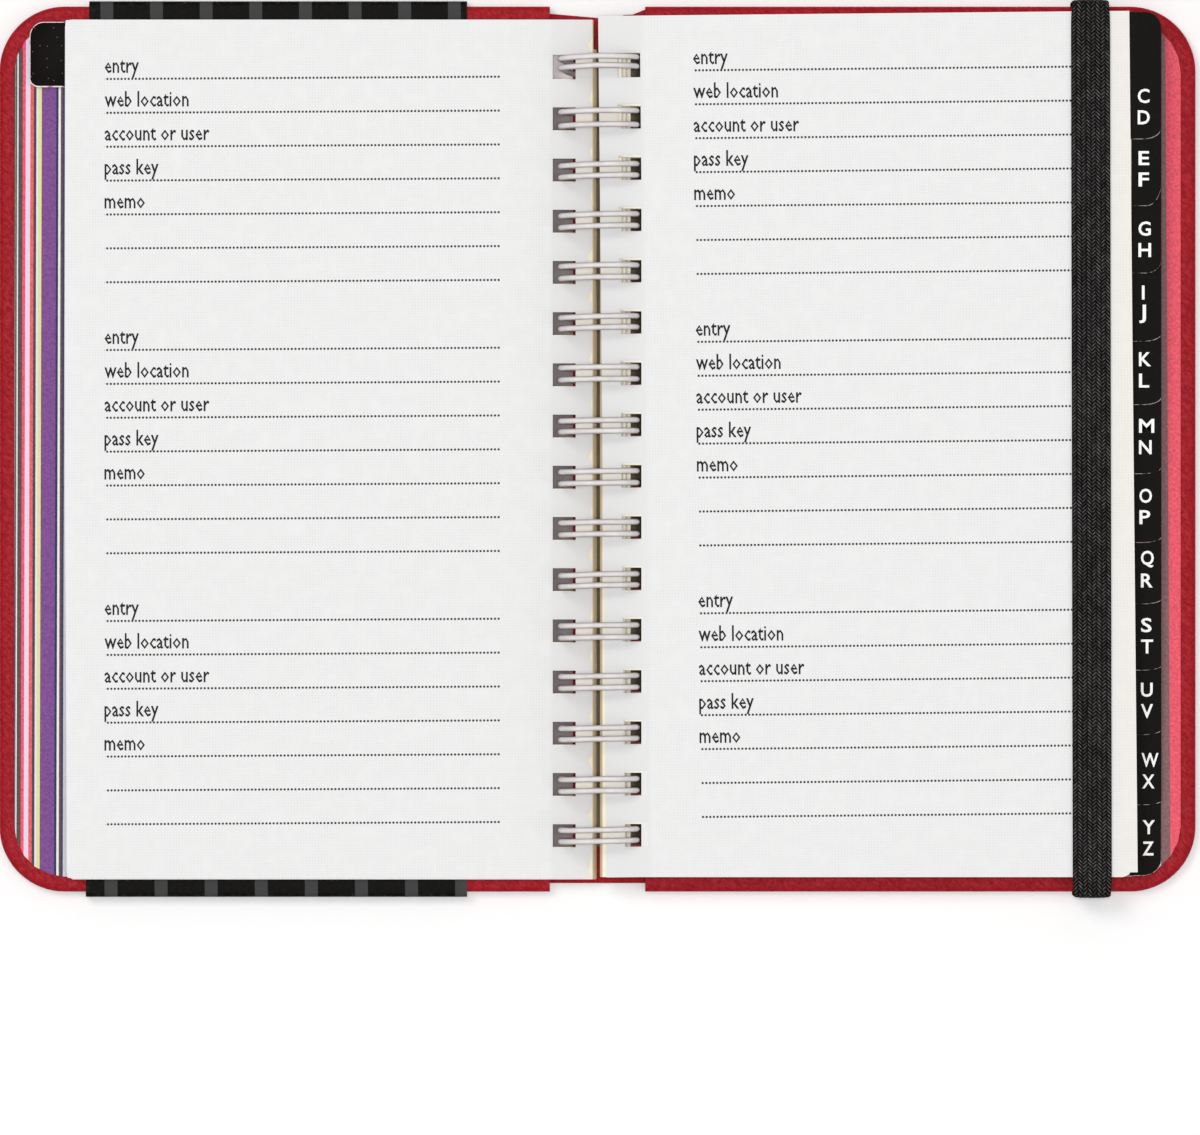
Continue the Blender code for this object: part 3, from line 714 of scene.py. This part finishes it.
def leaf(b, side, z, t, gutter, outer, low, high, hole, hole_dy, tab, shape, skew=0.0, ragged=None, corner=0.35,
         bevel=(0.02, 0.085), on_top=False):
    """One punched leaf from height z - t to z.

    high is its head, or the head's height at the gutter and at the fore edge. tab is (lower end, reach,
    lower corner's two radii, upper radius), and bevel how far its rim slopes at its side and lower end.
    ragged gives how far its inner edge stands back at a height.
    """
    cut = 1.2
    head, high = high if isinstance(high, tuple) else (high, high), np.max(high)
    us = [gutter, (gutter + hole[0]) / 2, hole[0] - 0.15, hole[0],
          (2 * hole[0] + hole[1]) / 3, (hole[0] + 2 * hole[1]) / 3, hole[1],
          8.6, 10.5, 16.0, 30.0, 46.0, 62.0, 76.0, outer - cut, outer]
    ys = {low, low + cut, high - cut, high, -27.9, -8.1, 20.1}
    # the uppermost hole is punched a little taller, and those of the top right page a little deeper
    low_half, top_half = 2.15 if on_top and side > 0 else 1.97, 2.27 if side > 0 else 2.19
    holes = [(y + hole_dy - low_half, y + hole_dy + (top_half if y == max(LOOP_Y) else 1.97)) for y in LOOP_Y]
    for ends in holes:
        ys.update(ends)
    if tab:
        ys.add(max(tab[0], low))
    if ragged is not None:
        ys.update((66.02, 66.18))
    if on_top and ragged is not None:
        ys.update(y + hole_dy + 1.97 + d for y in LOOP_Y for d in (0.7, 1.4, 2.1, 2.8, 3.6))
        ys = {y for y in ys if y <= high - cut or y == high}
    ys = sorted(ys)
    ys = [y for i, y in enumerate(ys) if i == 0 or y - ys[i - 1] > 1e-6]
    nu, ny = len(us), len(ys)
    u = np.repeat(np.array(us)[None, :], ny, 0)
    y = np.repeat(np.array(ys)[:, None], nu, 1)
    y[-1] = np.interp(us, [gutter, outer], head)
    if not (tab and tab[0] <= low + 0.5):
        u[0, -1] -= corner
        y[0, -1] += corner
    if not tab:
        u[-1, -1] -= corner
        y[-1, -1] -= corner
    if ragged is not None:
        u[:, 0] += ragged(np.array(ys))
    flat = np.column_stack([u.ravel(), y.ravel()])
    n = len(flat)

    def solid(z_at, uv):
        return np.column_stack([side * uv[:, 0], uv[:, 1], np.full(len(uv), z_at)])

    def sheet(uv, up):
        # the upper side of a right leaf and the lower side of a left leaf are right-hand pages
        kind = (0.0 if (side > 0) == up else 1.0) + (0.0 if on_top and up else 2.0)
        yy = uv[:, 1] - skew * (side * uv[:, 0] + 50.0)
        return np.column_stack([uv[:, 0], yy, np.full(len(uv), kind)])

    points = [shape(solid(z, flat)), shape(solid(z - t, flat))]
    rest = [sheet(flat, True), sheet(flat, False)]

    def solid_cell(i, j):
        if i < 0 or j < 0 or i >= ny - 1 or j >= nu - 1:
            return False
        if not (3 <= j <= 5):
            return True
        mid = (ys[i] + ys[i + 1]) / 2
        return not any(a < mid < c for a, c in holes)

    faces, mats = [], []

    def face(loop, mat):
        faces.append(loop if side > 0 else loop[::-1])
        mats.append(mat)

    for i in range(ny - 1):
        for j in range(nu - 1):
            if not solid_cell(i, j):
                continue
            a, c, d, e = i * nu + j, i * nu + j + 1, (i + 1) * nu + j + 1, (i + 1) * nu + j
            black = tab and j == nu - 2 and (ys[i] + ys[i + 1]) / 2 > tab[0]
            face([a, c, d, e], TAB if black else PAGE)
            face([n + e, n + d, n + c, n + a], TAB if black else PAGE)
            for di, dj, p, q in ((-1, 0, a, c), (0, 1, c, d), (1, 0, d, e), (0, -1, e, a)):
                if solid_cell(i + di, j + dj):
                    continue
                if tab and dj == 1 and j == nu - 2 and (ys[i] + ys[i + 1]) / 2 > tab[0]:
                    continue
                face([q, p, n + p, n + q], EDGE)
    if tab:
        y0, reach, r0, r1 = max(tab[0], low), tab[1], tab[2], tab[3]
        rim = [(reach - r0[0] + r0[0] * c, y0 + r0[1] + r0[1] * s) for c, s in arc(0, 0, 1, -90, 0, 9)]
        rim += arc(reach - r1, high - r1, r1, 0, 90, 9)
        rim = np.array([(outer, y0), (outer + 0.6, y0)] + rim + [(outer + 0.6, high), (outer, high)])
        step = np.gradient(rim, axis=0)
        step /= np.linalg.norm(step, axis=1)[:, None]
        slope = bevel[0] + (bevel[1] - bevel[0]) * np.clip(step[:, 0] * 1.4, 0, 1)
        inset = rim + np.column_stack([-step[:, 1], step[:, 0]]) * slope[:, None]
        inset[0], inset[-1] = rim[0], rim[-1]
        column = [i for i in range(ny) if ys[i] >= y0 - 1e-9]
        k = len(rim)
        base = 2 * n
        points += [shape(solid(z, inset[1:-1])), shape(solid(z - t, rim[1:-1]))]
        rest += [sheet(inset[1:-1], True), sheet(rim[1:-1], False)]
        top = [column[0] * nu + nu - 1] + [base + i for i in range(k - 2)] + [column[-1] * nu + nu - 1]
        bot = [n + column[0] * nu + nu - 1] + [base + k - 2 + i for i in range(k - 2)] + [n + column[-1] * nu + nu - 1]
        back = [i * nu + nu - 1 for i in column[1:-1]][::-1]
        face(top + back, TAB)
        face((bot + [n + i for i in back])[::-1], TAB)
        for i in range(k - 1):
            face([top[i + 1], top[i], bot[i], bot[i + 1]], RIM if slope[i] > 0.04 else SIDE)
    # marks the hole edge of the leaves below the top one, for a painted shadow line
    grime = np.tile((np.arange(n) % nu == 3) * (0.0 if on_top else 1.0), 2)
    b.add(np.concatenate(points), faces, mats, rest=np.concatenate(rest), grime=grime)


def tilted(degrees, px, py, dx=0.0, dy=0.0):
    c, s = math.cos(math.radians(degrees)), math.sin(math.radians(degrees))

    def shape(p):
        x, y = p[:, 0] - px, p[:, 1] - py
        return np.column_stack([px + dx + c * x - s * y, py + dy + s * x + c * y, p[:, 2]])
    return shape


def drooped(depth, reach, wave=0.0):
    """Lets a leaf hang a little towards the gutter."""
    def shape(p):
        u = np.abs(p[:, 0])
        fall = np.clip((reach - u) / reach, 0, 1) ** 1.7 * depth
        lift = wave * np.clip(u / 88.0, 0, 1) * np.sin(p[:, 1] / 23.0 + u / 31.0)
        return np.column_stack([p[:, 0], p[:, 1], p[:, 2] - fall + lift])
    return shape


def trimmed(heights, takes):
    """Takes a little off the fore edge of a left leaf, by so much at each height."""
    def shape(p):
        take = np.interp(p[:, 1], heights, takes)
        return np.column_stack([p[:, 0] + take * np.clip((-p[:, 0] - 76.0) / 12.0, 0, 1), p[:, 1], p[:, 2]])
    return shape


def chain(*shapes):
    def shape(p):
        for s in shapes:
            p = s(p)
        return p
    return shape


SECTIONS = ["cd", "ef", "gh", "ij", "kl", "mn", "op", "qr", "st", "uv", "wx", "yz"]
TAB_DRIFT = [0.0, 0.0, -0.1, -0.35, 0.2, -0.2, -0.55, 0.3, 0.35, 0.7, 0.1, 0.0]
LETTER_AT = [89.17, 89.32, 89.32, 89.45, 89.45, 89.47, 89.55, 89.83, 89.87, 89.87, 90.10, 90.18]
LETTER_RISE = [-0.41, 0.35, -0.17, 0.55, 0.0, 0.41, 0.21, -0.10, -0.05, -0.08, -0.10, -0.10]
TAB_CORNER = [(2.9, 1.7), (2.4, 3.8), (2.6, 2.0), (3.0, 1.2), (3.0, 1.2), (3.2, 1.0), (3.2, 0.9), (3.2, 0.8),
              (3.2, 0.7), (3.2, 0.8), (3.2, 0.7), (3.0, 2.6)]
HOLE_IN = [3.40, 4.05, 4.10, 4.72, 4.77, 5.50, 5.42, 5.26, 4.96, 4.56, 4.06, 3.46]


def right_section(k, mats, rng):
    letters = SECTIONS[k]
    top = 9.7 - 0.55 * k
    b = Build()
    count, t = 4, 0.09
    step = (0.45 - t) / (count - 1)
    tab_low = 51.1 - 11.01 * k + TAB_DRIFT[k]
    fall = drooped(0.28 * (1 - k / 11.5), 7.0)
    tab_at = 1 if k == 0 else 0
    for i in range(count):
        z = top - i * step
        du, dl, dh, dyh = rng.uniform(-0.14, 0.14, 4)
        if k == 0 and i == 0:                      # the loose page that lies on top, a little askew
            shape = chain(tilted(0.56, 0.0, 58.0, -0.1, 0.33), fall)
            leaf(b, 1, z, t, 0.34, 88.0, -71.1, 71.1, (3.45, 7.2), -0.42, None, shape, corner=0.0, on_top=True)
            print_labels(b, INK, False, z, False, shape)
            continue
        tab = None
        if i == tab_at:
            tab = (tab_low if k < 11 else -70.6, 93.02 + 0.022 * k + du * 0.3, TAB_CORNER[k], 2.6)
        low = -70.62 + (dl * 0.7 if i != tab_at or k < 11 else 0.02)
        leaf(b, 1, z, t, 0.40 + abs(du), 88.0 + du, low, (71.15 + dh * 0.3, 72.1 + dh * 0.3),
             (HOLE_IN[k] + du * 0.2, 7.25), dyh * 0.5 - 0.36, tab, fall)
        if i == tab_at:
            print_letters(b, WHITE, letters.upper(), LETTER_AT[k], tab_low + LETTER_RISE[k], z, False, fall)
        if i == 0:
            print_labels(b, INK, False, z, False, chain(tilted(0.0, 0, 0, 0, 0.9), fall))
    bottom = top - (count - 1) * step - t
    print_labels(b, INK, True, bottom, True, chain(tilted(0.0, 0, 0, 0, 0.9), fall))
    return b.piece("leaves_" + letters, mats)


def left_pack(name, top, count, mats, rng, tab=False, page=False):
    b = Build()
    t = 0.09
    depth = {True: 0.30, False: 0.45}[page]
    step = (depth - t) / (count - 1)
    fall = chain(trimmed([-71.0, -40.0, -8.0, 54.0, 71.0], [0.15, 0.14, 0.14, 0.20, 0.22]), drooped(0.85, 7.4))
    loose = chain(trimmed([-71.0, -48.0, -28.0, -8.0, 20.0, 71.0], [0.54, 0.46, 0.34, 0.20, 0.18, 0.26]), drooped(0.85, 7.4))
    skew = math.tan(math.radians(0.34)) if page else 0.0

    def askew(p):
        return np.column_stack([p[:, 0], p[:, 1] + skew * (p[:, 0] + 50.0), p[:, 2]])

    for i in range(count):
        z = top - i * step
        du, dl, dh, dyh = rng.uniform(-0.13, 0.13, 4)
        if page and i == 0:
            jag = rng.uniform(-0.04, 0.06, 160)
            deep = rng.uniform(0.35, 0.95, LOOPS + 1)

            def torn(y):
                way = (y + 0.52 - 1.97 - LOOP_Y[0]) / PITCH
                above = (way - np.floor(way)) * PITCH
                spot = 1.5 + 0.9 * np.sin(2.7 * np.floor(way))
                return jag[:len(y)] + 0.85 * deep[np.clip(np.floor(way), 0, LOOPS).astype(int)] * np.exp(-((above - spot) / 0.75) ** 2)

            leaf(b, -1, z, t, 0.86, 88.3, -71.0, 71.0, (3.62, 7.4), -0.52, None, loose, skew, torn, corner=0.12, on_top=True)
            # the rules are read at the page's own slant, so that slant is taken out of their rest height
            print_labels(b, INK, True, z, False, chain(askew, fall))
            continue
        gutter = 0.56 - 0.05 * i - (0.0 if page else 5.20 - top) * 0.34 + abs(du) * 0.3
        uneven = rng.uniform(0.0, 0.10, 72)
        short = lambda y, room=max(0.0, 0.66 - gutter): uneven[:len(y)] + np.where(y > 66.1, room, 0.0)
        if tab and i == count - 1:
            leaf(b, -1, z, t, gutter, 88.1, -71.2, 70.65, (3.45 + du * 0.5, 7.4), -0.40 + dyh * 0.5, (59.85, 94.15, (1.5, 1.3), 2.4), fall,
                 ragged=short, bevel=(0.12, 0.20))
            print_letters(b, WHITE, "AB", 89.3, 59.75, z - t, True, fall)
        else:
            leaf(b, -1, z, t, gutter, 88.1 + du, -71.0 + dl, 70.9 + dh, (3.45 + du * 0.5, 7.4), -0.40 + dyh * 0.5, None, fall,
                 ragged=short)
        if i == 0:
            print_labels(b, INK, True, z, False, fall)
    bottom = top - (count - 1) * step - t
    print_labels(b, INK, False, bottom, True, fall)
    return b.piece(name, mats)


# ---- wire ------------------------------------------------------------------------------------
def wire_loops(mat, rng):
    """Sixteen hairpins of one coated wire, curled round the binding axis."""
    radius, middle, wire = 6.45, 0.10, 0.47
    base, tip = -82.0, 262.0
    # (shift, gap, slope left of the axis, slope right of it) of the loops, from the head down
    seen = [(0.46, 1.52, 0.055, -0.01), (-0.44, 2.30, 0.03, 0.01), (-0.62, 1.85, 0.04, 0.025), (-0.42, 1.91, 0.04, 0.02)]
    path, hang = [], 0.0

    def at(angle, y, slope=(0, 0)):
        a = math.radians(angle)
        c, s = math.cos(a), math.sin(a)
        flat = (abs(c) ** 2.5 + s ** 2.5) ** -0.4 if s > 0 else 1.0
        x = middle + radius * flat * c * (0.96 if c < 0 else 1.0)
        lean = x * (slope[0] if x < 0 else slope[1]) * (0.5 + 0.5 * math.sin(a) if math.sin(a) < 0 else 1.0)
        lean -= hang * max(0.0, (angle - 180.0) / 82.0) ** 1.25      # the closed end lies askew under the leaves
        path.append((x, y + lean, AXIS_Z + radius * flat * s))

    per_mm = 180.0 / math.pi / radius
    for i in range(LOOPS):
        down = LOOPS - 1 - i
        if down < len(seen):
            shift, gap, sl, sr = seen[down]
        else:
            shift, gap = rng.uniform(-0.48, -0.22), rng.uniform(1.75, 1.98)
            sl, sr = rng.uniform(0.02, 0.045), rng.uniform(0.0, 0.02)
        y, half = LOOP_Y[i] + shift, gap / 2
        hang = min(2.1, max(0.3, (shift - half + 2.0) / 0.41)) if down == 0 else 0.3
        angles = np.linspace(base + 8, tip - half * per_mm, 40)
        if i:
            for a in np.radians(np.linspace(0, 80, 6)):
                at(base + 8 * math.sin(a) - 2, y - half - 0.9 * math.cos(a))
        for a in angles:
            at(a, y - half, (sl, sr))
        for a in np.radians(np.linspace(-75, 75, 9)):
            at(tip - half * per_mm + half * per_mm * math.cos(a), y + half * math.sin(a), (sl, sr))
        for a in angles[::-1]:
            at(a, y + half, (sl, sr))
        if i < LOOPS - 1:
            for a in np.radians(np.linspace(80, 0, 6)):
                at(base + 8 * math.sin(a) - 2, y + half + 0.9 * math.cos(a))
    line = np.array(path)
    keep = np.concatenate([[True], np.linalg.norm(np.diff(line, axis=0), axis=1) > 0.02])
    line = line[keep]
    tangent = np.gradient(line, axis=0)
    tangent /= np.linalg.norm(tangent, axis=1)[:, None]
    # a frame carried along the wire without twist
    normal = np.zeros_like(line)
    first = np.cross(tangent[0], (0.0, 1.0, 0.0))
    normal[0] = first / np.linalg.norm(first)
    for i in range(1, len(line)):
        v = normal[i - 1] - tangent[i] * float(normal[i - 1] @ tangent[i])
        normal[i] = v / np.linalg.norm(v)
    side = np.cross(tangent, normal)
    sides = 16
    rings, shade = [], []
    for a in np.linspace(0, 2 * math.pi, sides, endpoint=False):
        way = math.cos(a) * normal + math.sin(a) * side
        rings.append(line + wire * way)
        # painted shade: the wire is darker where it faces sideways or down and low in the holes, and a little darker at
        # the top of each loop as a painted reflection
        high = np.clip((line[:, 2] - 4.5) / 5.0, 0, 1) * (1 - 0.16 * np.exp(-(line[:, 0] / 1.1) ** 2))
        facing = way[:, 2] / np.maximum(0.3, np.sqrt(np.clip(1 - tangent[:, 2] ** 2, 0, 1)))
        shade.append(np.clip((facing - 0.06) / 0.82, 0, 1) * (0.28 + 0.72 * high))
    points = np.stack(rings, 1).reshape(-1, 3)
    shade = np.append(np.stack(shade, 1).ravel(), (0.2, 0.2))
    n = len(line)
    b = Build()
    faces = grid_faces(n, sides, closed_cols=True, flip=True)
    start, end = len(points), len(points) + 1
    caps = np.array([line[0] - tangent[0] * 0.25, line[-1] + tangent[-1] * 0.25])
    faces += [(start, j, (j + 1) % sides) for j in range(sides)]
    faces += [(end, (n - 1) * sides + (j + 1) % sides, (n - 1) * sides + j) for j in range(sides)]
    b.add(np.concatenate([points, caps]), faces, shade=shade)
    return b.piece("wire_loops", [mat], 60)


# ---- elastic ---------------------------------------------------------------------------------
def elastic_loop(mat):
    """Flat braid: two tails under the wrap, two legs round the edges and the span over the page."""
    x_mid, width, thick = 81.65, 6.45, 0.80
    leg, tail_z, span_z, bend = 73.72, 0.95, 10.25, 1.15
    line = [(59.3, tail_z), (leg - bend, tail_z)]
    line += arc(leg - bend, tail_z + bend, bend, -90, 0, 12)[1:]
    line += arc(leg - bend, span_z - bend, bend, 0, 90, 12)
    line += [(-y, z) for y, z in reversed(line)]
    line = np.array(line)
    seg = np.concatenate([[0], np.cumsum(np.hypot(*np.diff(line, axis=0).T))])
    pitch = 0.61
    count = int(seg[-1] / pitch * 4.5)
    s = np.linspace(0, seg[-1], count)
    path = np.column_stack([np.interp(s, seg, line[:, 0]), np.interp(s, seg, line[:, 1])])
    tangent = np.gradient(path, axis=0)
    smooth = np.ones(7) / 7
    tangent = np.column_stack([np.convolve(np.pad(tangent[:, c], 3, "edge"), smooth, "valid") for c in (0, 1)])
    tangent /= np.linalg.norm(tangent, axis=1)[:, None]
    out = np.column_stack([tangent[:, 1], -tangent[:, 0]])     # away from the book
    columns, per = 8, 6
    w_out = np.linspace(-width / 2, width / 2, columns * per + 1)
    w_in = np.linspace(width / 2, -width / 2, 12)[1:-1]
    pull = 1.0 - 0.05 * np.exp(-(((np.abs(path[:, 0]) - leg) / 2.0) ** 2))   # narrower where it bends
    lean = 0.15 * (1.0 + path[:, 0] / 74.0)                                    # it lies slightly askew

    def yarn(w):
        place = (w + width / 2) / (width / columns)
        col = np.clip(np.floor(place), 0, columns - 1)
        part = place - col
        way = np.where(col % 2 == 0, 1.0, -1.0)
        phase = (s[:, None] + (way * (part - 0.5) * 0.80)[None, :]) / pitch + (col * 0.5)[None, :]
        strand = np.abs(np.cos(math.pi * phase)) ** 1.9
        hump = np.sin(math.pi * np.clip(part, 0.06, 0.94)) ** 0.30
        count = np.floor(phase).astype(int) + (col * 37).astype(int)[None, :]
        return strand * hump[None, :], fade[count % len(fade)]

    fade = np.random.default_rng(5).uniform(0.84, 1.14, 997)
    rings, marks = [], []
    for ws, sign in ((w_out, 1.0), (w_in, -1.0)):
        flat = np.sqrt(np.clip(1 - np.abs(2 * ws / width) ** 5, 0.02, 1))
        ply, tone = yarn(ws)
        height = sign * (thick / 2 * flat)[None, :] + sign * (0.15 * (ply - 0.55)) * (1.0 if sign > 0 else 0.5)
        x = x_mid + ws[None, :] * pull[:, None] - lean[:, None]
        yy = path[:, 0:1] + out[:, 0:1] * height
        zz = path[:, 1:2] + out[:, 1:2] * height
        rings.append(np.stack([np.broadcast_to(x, yy.shape), yy, zz], -1))
        # the same pattern paints lighter crests and darker gaps in the finish
        marks.append(ply * tone)
    ring = np.concatenate(rings, 1)
    mark = np.concatenate(marks, 1)
    n, m = ring.shape[:2]
    faces = grid_faces(n, m, closed_cols=True, flip=True)
    faces += [list(range(m)), [(n - 1) * m + j for j in range(m)][::-1]]
    b = Build()
    b.add(ring.reshape(-1, 3), faces, 0, yarn=mark.ravel())
    return b.piece("elastic_loop", [mat], 80)


# ---- band -------------------------------------------------------------------------------------
def band_sleeve(mat):
    """Folded paper sleeve round the front cover."""
    x0, x1 = -83.8, -21.6
    half, top, t, r = 74.1, 3.70, 0.22, 0.75

    def loop(inset):
        hh, low, high, rr = half - inset, inset, top - inset, r - inset
        line = [(y, low) for y in np.linspace(-(hh - rr), hh - rr, 64)]
        line += arc(hh - rr, low + rr, rr, -90, 0, 8)[1:]
        line += arc(hh - rr, high - rr, rr, 0, 90, 8)
        line += [(y, high) for y in np.linspace(hh - rr, -(hh - rr), 64)[1:]]
        line += arc(-(hh - rr), high - rr, rr, 90, 180, 8)[1:]
        line += arc(-(hh - rr), low + rr, rr, 180, 270, 8)[:-1]
        return np.array(line)

    outer, inner = loop(0.0), loop(t)
    xs = np.linspace(x0, x1, 30)
    n, m = len(outer), len(xs)
    points, rest, rim, front = [], [], [], []
    for line, code in ((outer, 1.0), (inner, 0.0)):
        y, z = line[:, 0][:, None] + 0 * xs[None, :], line[:, 1][:, None] + 0 * xs[None, :]
        x = np.broadcast_to(xs[None, :], y.shape)
        x = x - (0.30 + 0.28 * (1 - y / half)) * (x1 - x) / (x1 - x0)          # its end is cut askew
        free = np.clip(1 - np.abs(y) / half, 0, 1) ** 0.3
        lift = 0.035 * free * np.sin(y / 9.0 + x / 17.0) * np.sin(math.pi * (x - x0) / (x1 - x0))
        points.append(np.stack([x, y, z + np.abs(lift) * np.where(z < 1.8, 1, 0.0)], -1).reshape(-1, 3))
        # the label is printed on the lower, outer face only; the folded-over face keeps plain stripes
        front.append(np.where(z < 1.2, 1.0, 0.0).ravel())
        shift = 1.22 * np.clip((z - 0.75) / 2.2, 0, 1) * (0.5 - 0.5 * y / half)
        along = y + np.clip(y / 20.0, -1, 1) * np.clip(z - 0.75, 0, 2.2)          # height on the flat sheet
        rest.append(np.stack([np.broadcast_to(xs[None, :], y.shape) - shift, along, np.full_like(y, code)], -1).reshape(-1, 3))
        edge = np.maximum(np.clip(1 - np.minimum(x - x0, x1 - x) / 0.8, 0, 1), np.clip((np.abs(y) - half + 0.9) / 0.6, 0, 1))
        rim.append(edge.ravel() * 0.7)
    size = n * m
    faces = grid_faces(n, m, closed_rows=True)
    faces += [tuple(size + i for i in f[::-1]) for f in grid_faces(n, m, closed_rows=True)]
    for i in range(n):
        a, c = i * m, ((i + 1) % n) * m
        faces.append((c, a, size + a, size + c))
        a, c = a + m - 1, c + m - 1
        faces.append((a, c, size + c, size + a))
    b = Build()
    b.add(np.concatenate(points), faces, 0, rest=np.concatenate(rest), rim=np.concatenate(rim),
          front=np.concatenate(front))
    return b.piece("band_sleeve", [mat], 40)


# ---- putting it together ----------------------------------------------------------------------
rng = np.random.default_rng(20)
LEATHER = leatherette()
LEAF_MATS = [page_paper(), cut_edge(), tab_black(False), ink_black(), ink_white(), tab_rim(False), tab_side()]
AB_MATS = LEAF_MATS[:2] + [tab_black(True)] + LEAF_MATS[3:5] + [tab_rim(True)] + LEAF_MATS[6:]


def finish_node(name, mat):
    mesh = NODES[name].data
    mesh.materials.clear()
    mesh.materials.append(mat)


def place(obj, body, slot, *nodes):
    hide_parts(*nodes)
    if body:
        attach(obj, body)
    return obj


place(cover_shell("front_cover_shell", -1, 0.35, LEATHER), "front_cover", "leatherette", "front_cover_wrap")
place(cover_shell("back_cover_shell", 1, 0.0, LEATHER), "back_cover", "leatherette", "back_cover_wrap")
# the second lining is a darker sheet painted as the shade of the gutter and the right holes; the first is painted
# lighter near the head
LININGS = [lining("spine_lining", (142, 132, 132), (164, 154, 154), (240, 231, 233)),
           lining("painted_shade_lining", (112, 103, 86), (146, 136, 114))]
spine = place(spine_strip([LEATHER] + LININGS), None, "leatherette", "spine_wrap")
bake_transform(spine)

BOARD = greyboard()
finish_node("front_cover_board", BOARD)
finish_node("back_cover_board", BOARD)
finish_node("front_endpaper", striped_paper("front_stripes", FRONT_STRIPES, 0.003, 96.66))
finish_node("back_endpaper", striped_paper("back_stripes", BACK_STRIPES, 0.00625))

place(left_pack("leaves_front", 4.25, 4, LEAF_MATS, rng), "front_leaves", "page", "front_leaves")
place(left_pack("leaves_ab", 4.80, 4, AB_MATS, rng, tab=True), "leaves_ab", "page", "section_ab")
place(left_pack("page_left", 5.20, 3, LEAF_MATS, rng, page=True), "left_page", "page", "left_page_leaf")
for k, letters in enumerate(SECTIONS):
    place(right_section(k, LEAF_MATS, rng), "leaves_" + letters, "page", "section_" + letters)

place(wire_loops(coated_wire(), rng), "back_cover", "wire", "wire_binding")
strap = place(elastic_loop(braided_elastic()), None, "elastic", "elastic_top_end", "elastic_bottom_end", "elastic_span")
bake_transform(strap)
place(band_sleeve(band_paper()), "paper_band", "band", "paper_band")


# ---- stage, light and camera ---------------------------------------------------------------------
def floor():
    m = Finish("studio_floor")
    coords = m.add("TexCoord").outputs["Object"]
    cloud = m.noise(coords, 3.0, 2.0, 0.5)
    m.set(Base_Color=m.ramp(cloud, [(0.3, (0.93, 0.93, 0.93, 1)), (0.7, (0.955, 0.955, 0.955, 1))]),
          Roughness=0.9, Specular_IOR_Level=0.0)
    mesh = bpy.data.meshes.new("studio_floor")
    s = 6.0
    mesh.from_pydata([(-s, -s, -0.0003), (s, -s, -0.0003), (s, s, -0.0003), (-s, s, -0.0003)], [], [(0, 1, 2, 3)])
    mesh.materials.append(m.mat)
    obj = bpy.data.objects.new("studio_floor", mesh)
    bpy.context.scene.collection.objects.link(obj)


def lamp(name, place_at, aim, size, power, colour=(1, 1, 1)):
    light = bpy.data.lights.new(name, "AREA")
    light.shape = "DISK"
    light.size = size
    light.energy = power
    light.color = colour
    obj = bpy.data.objects.new(name, light)
    obj.location = place_at
    obj.rotation_euler = (Vector(aim) - Vector(place_at)).to_track_quat("-Z", "Y").to_euler()
    bpy.context.scene.collection.objects.link(obj)


floor()
lamp("overhead", (0, 0, 3.2), (0, 0, 0), 2.6, 20.0)
lamp("ring", (0.0, -0.02, 3.2), (0.0, -0.02, 0), 0.40, 40.0)
lamp("key", (-0.45, 0.40, 1.4), (0, 0, 0), 0.5, 4.8, (1.0, 0.99, 0.97))
lamp("fill", (0.9, -0.5, 1.2), (0, 0, 0), 1.0, 1.8, (0.97, 0.985, 1.0))
world = bpy.data.worlds.new("studio")
world.use_nodes = True
world.node_tree.nodes["Background"].inputs["Color"].default_value = (1, 1, 1, 1)
world.node_tree.nodes["Background"].inputs["Strength"].default_value = 0.28
bpy.context.scene.world = world
bpy.context.scene.view_settings.view_transform = "Standard"
bpy.context.scene.view_settings.look = "None"

camera = bpy.data.cameras.new("camera")
camera.sensor_width = 36.0
HEIGHT = 2.5
camera.lens = 36.0 * (HEIGHT - 0.003) / 0.1986
camera.clip_end = 50.0
eye = bpy.data.objects.new("camera", camera)
eye.location = (0.00041, -0.0196, HEIGHT)
bpy.context.scene.collection.objects.link(eye)
bpy.context.scene.camera = eye
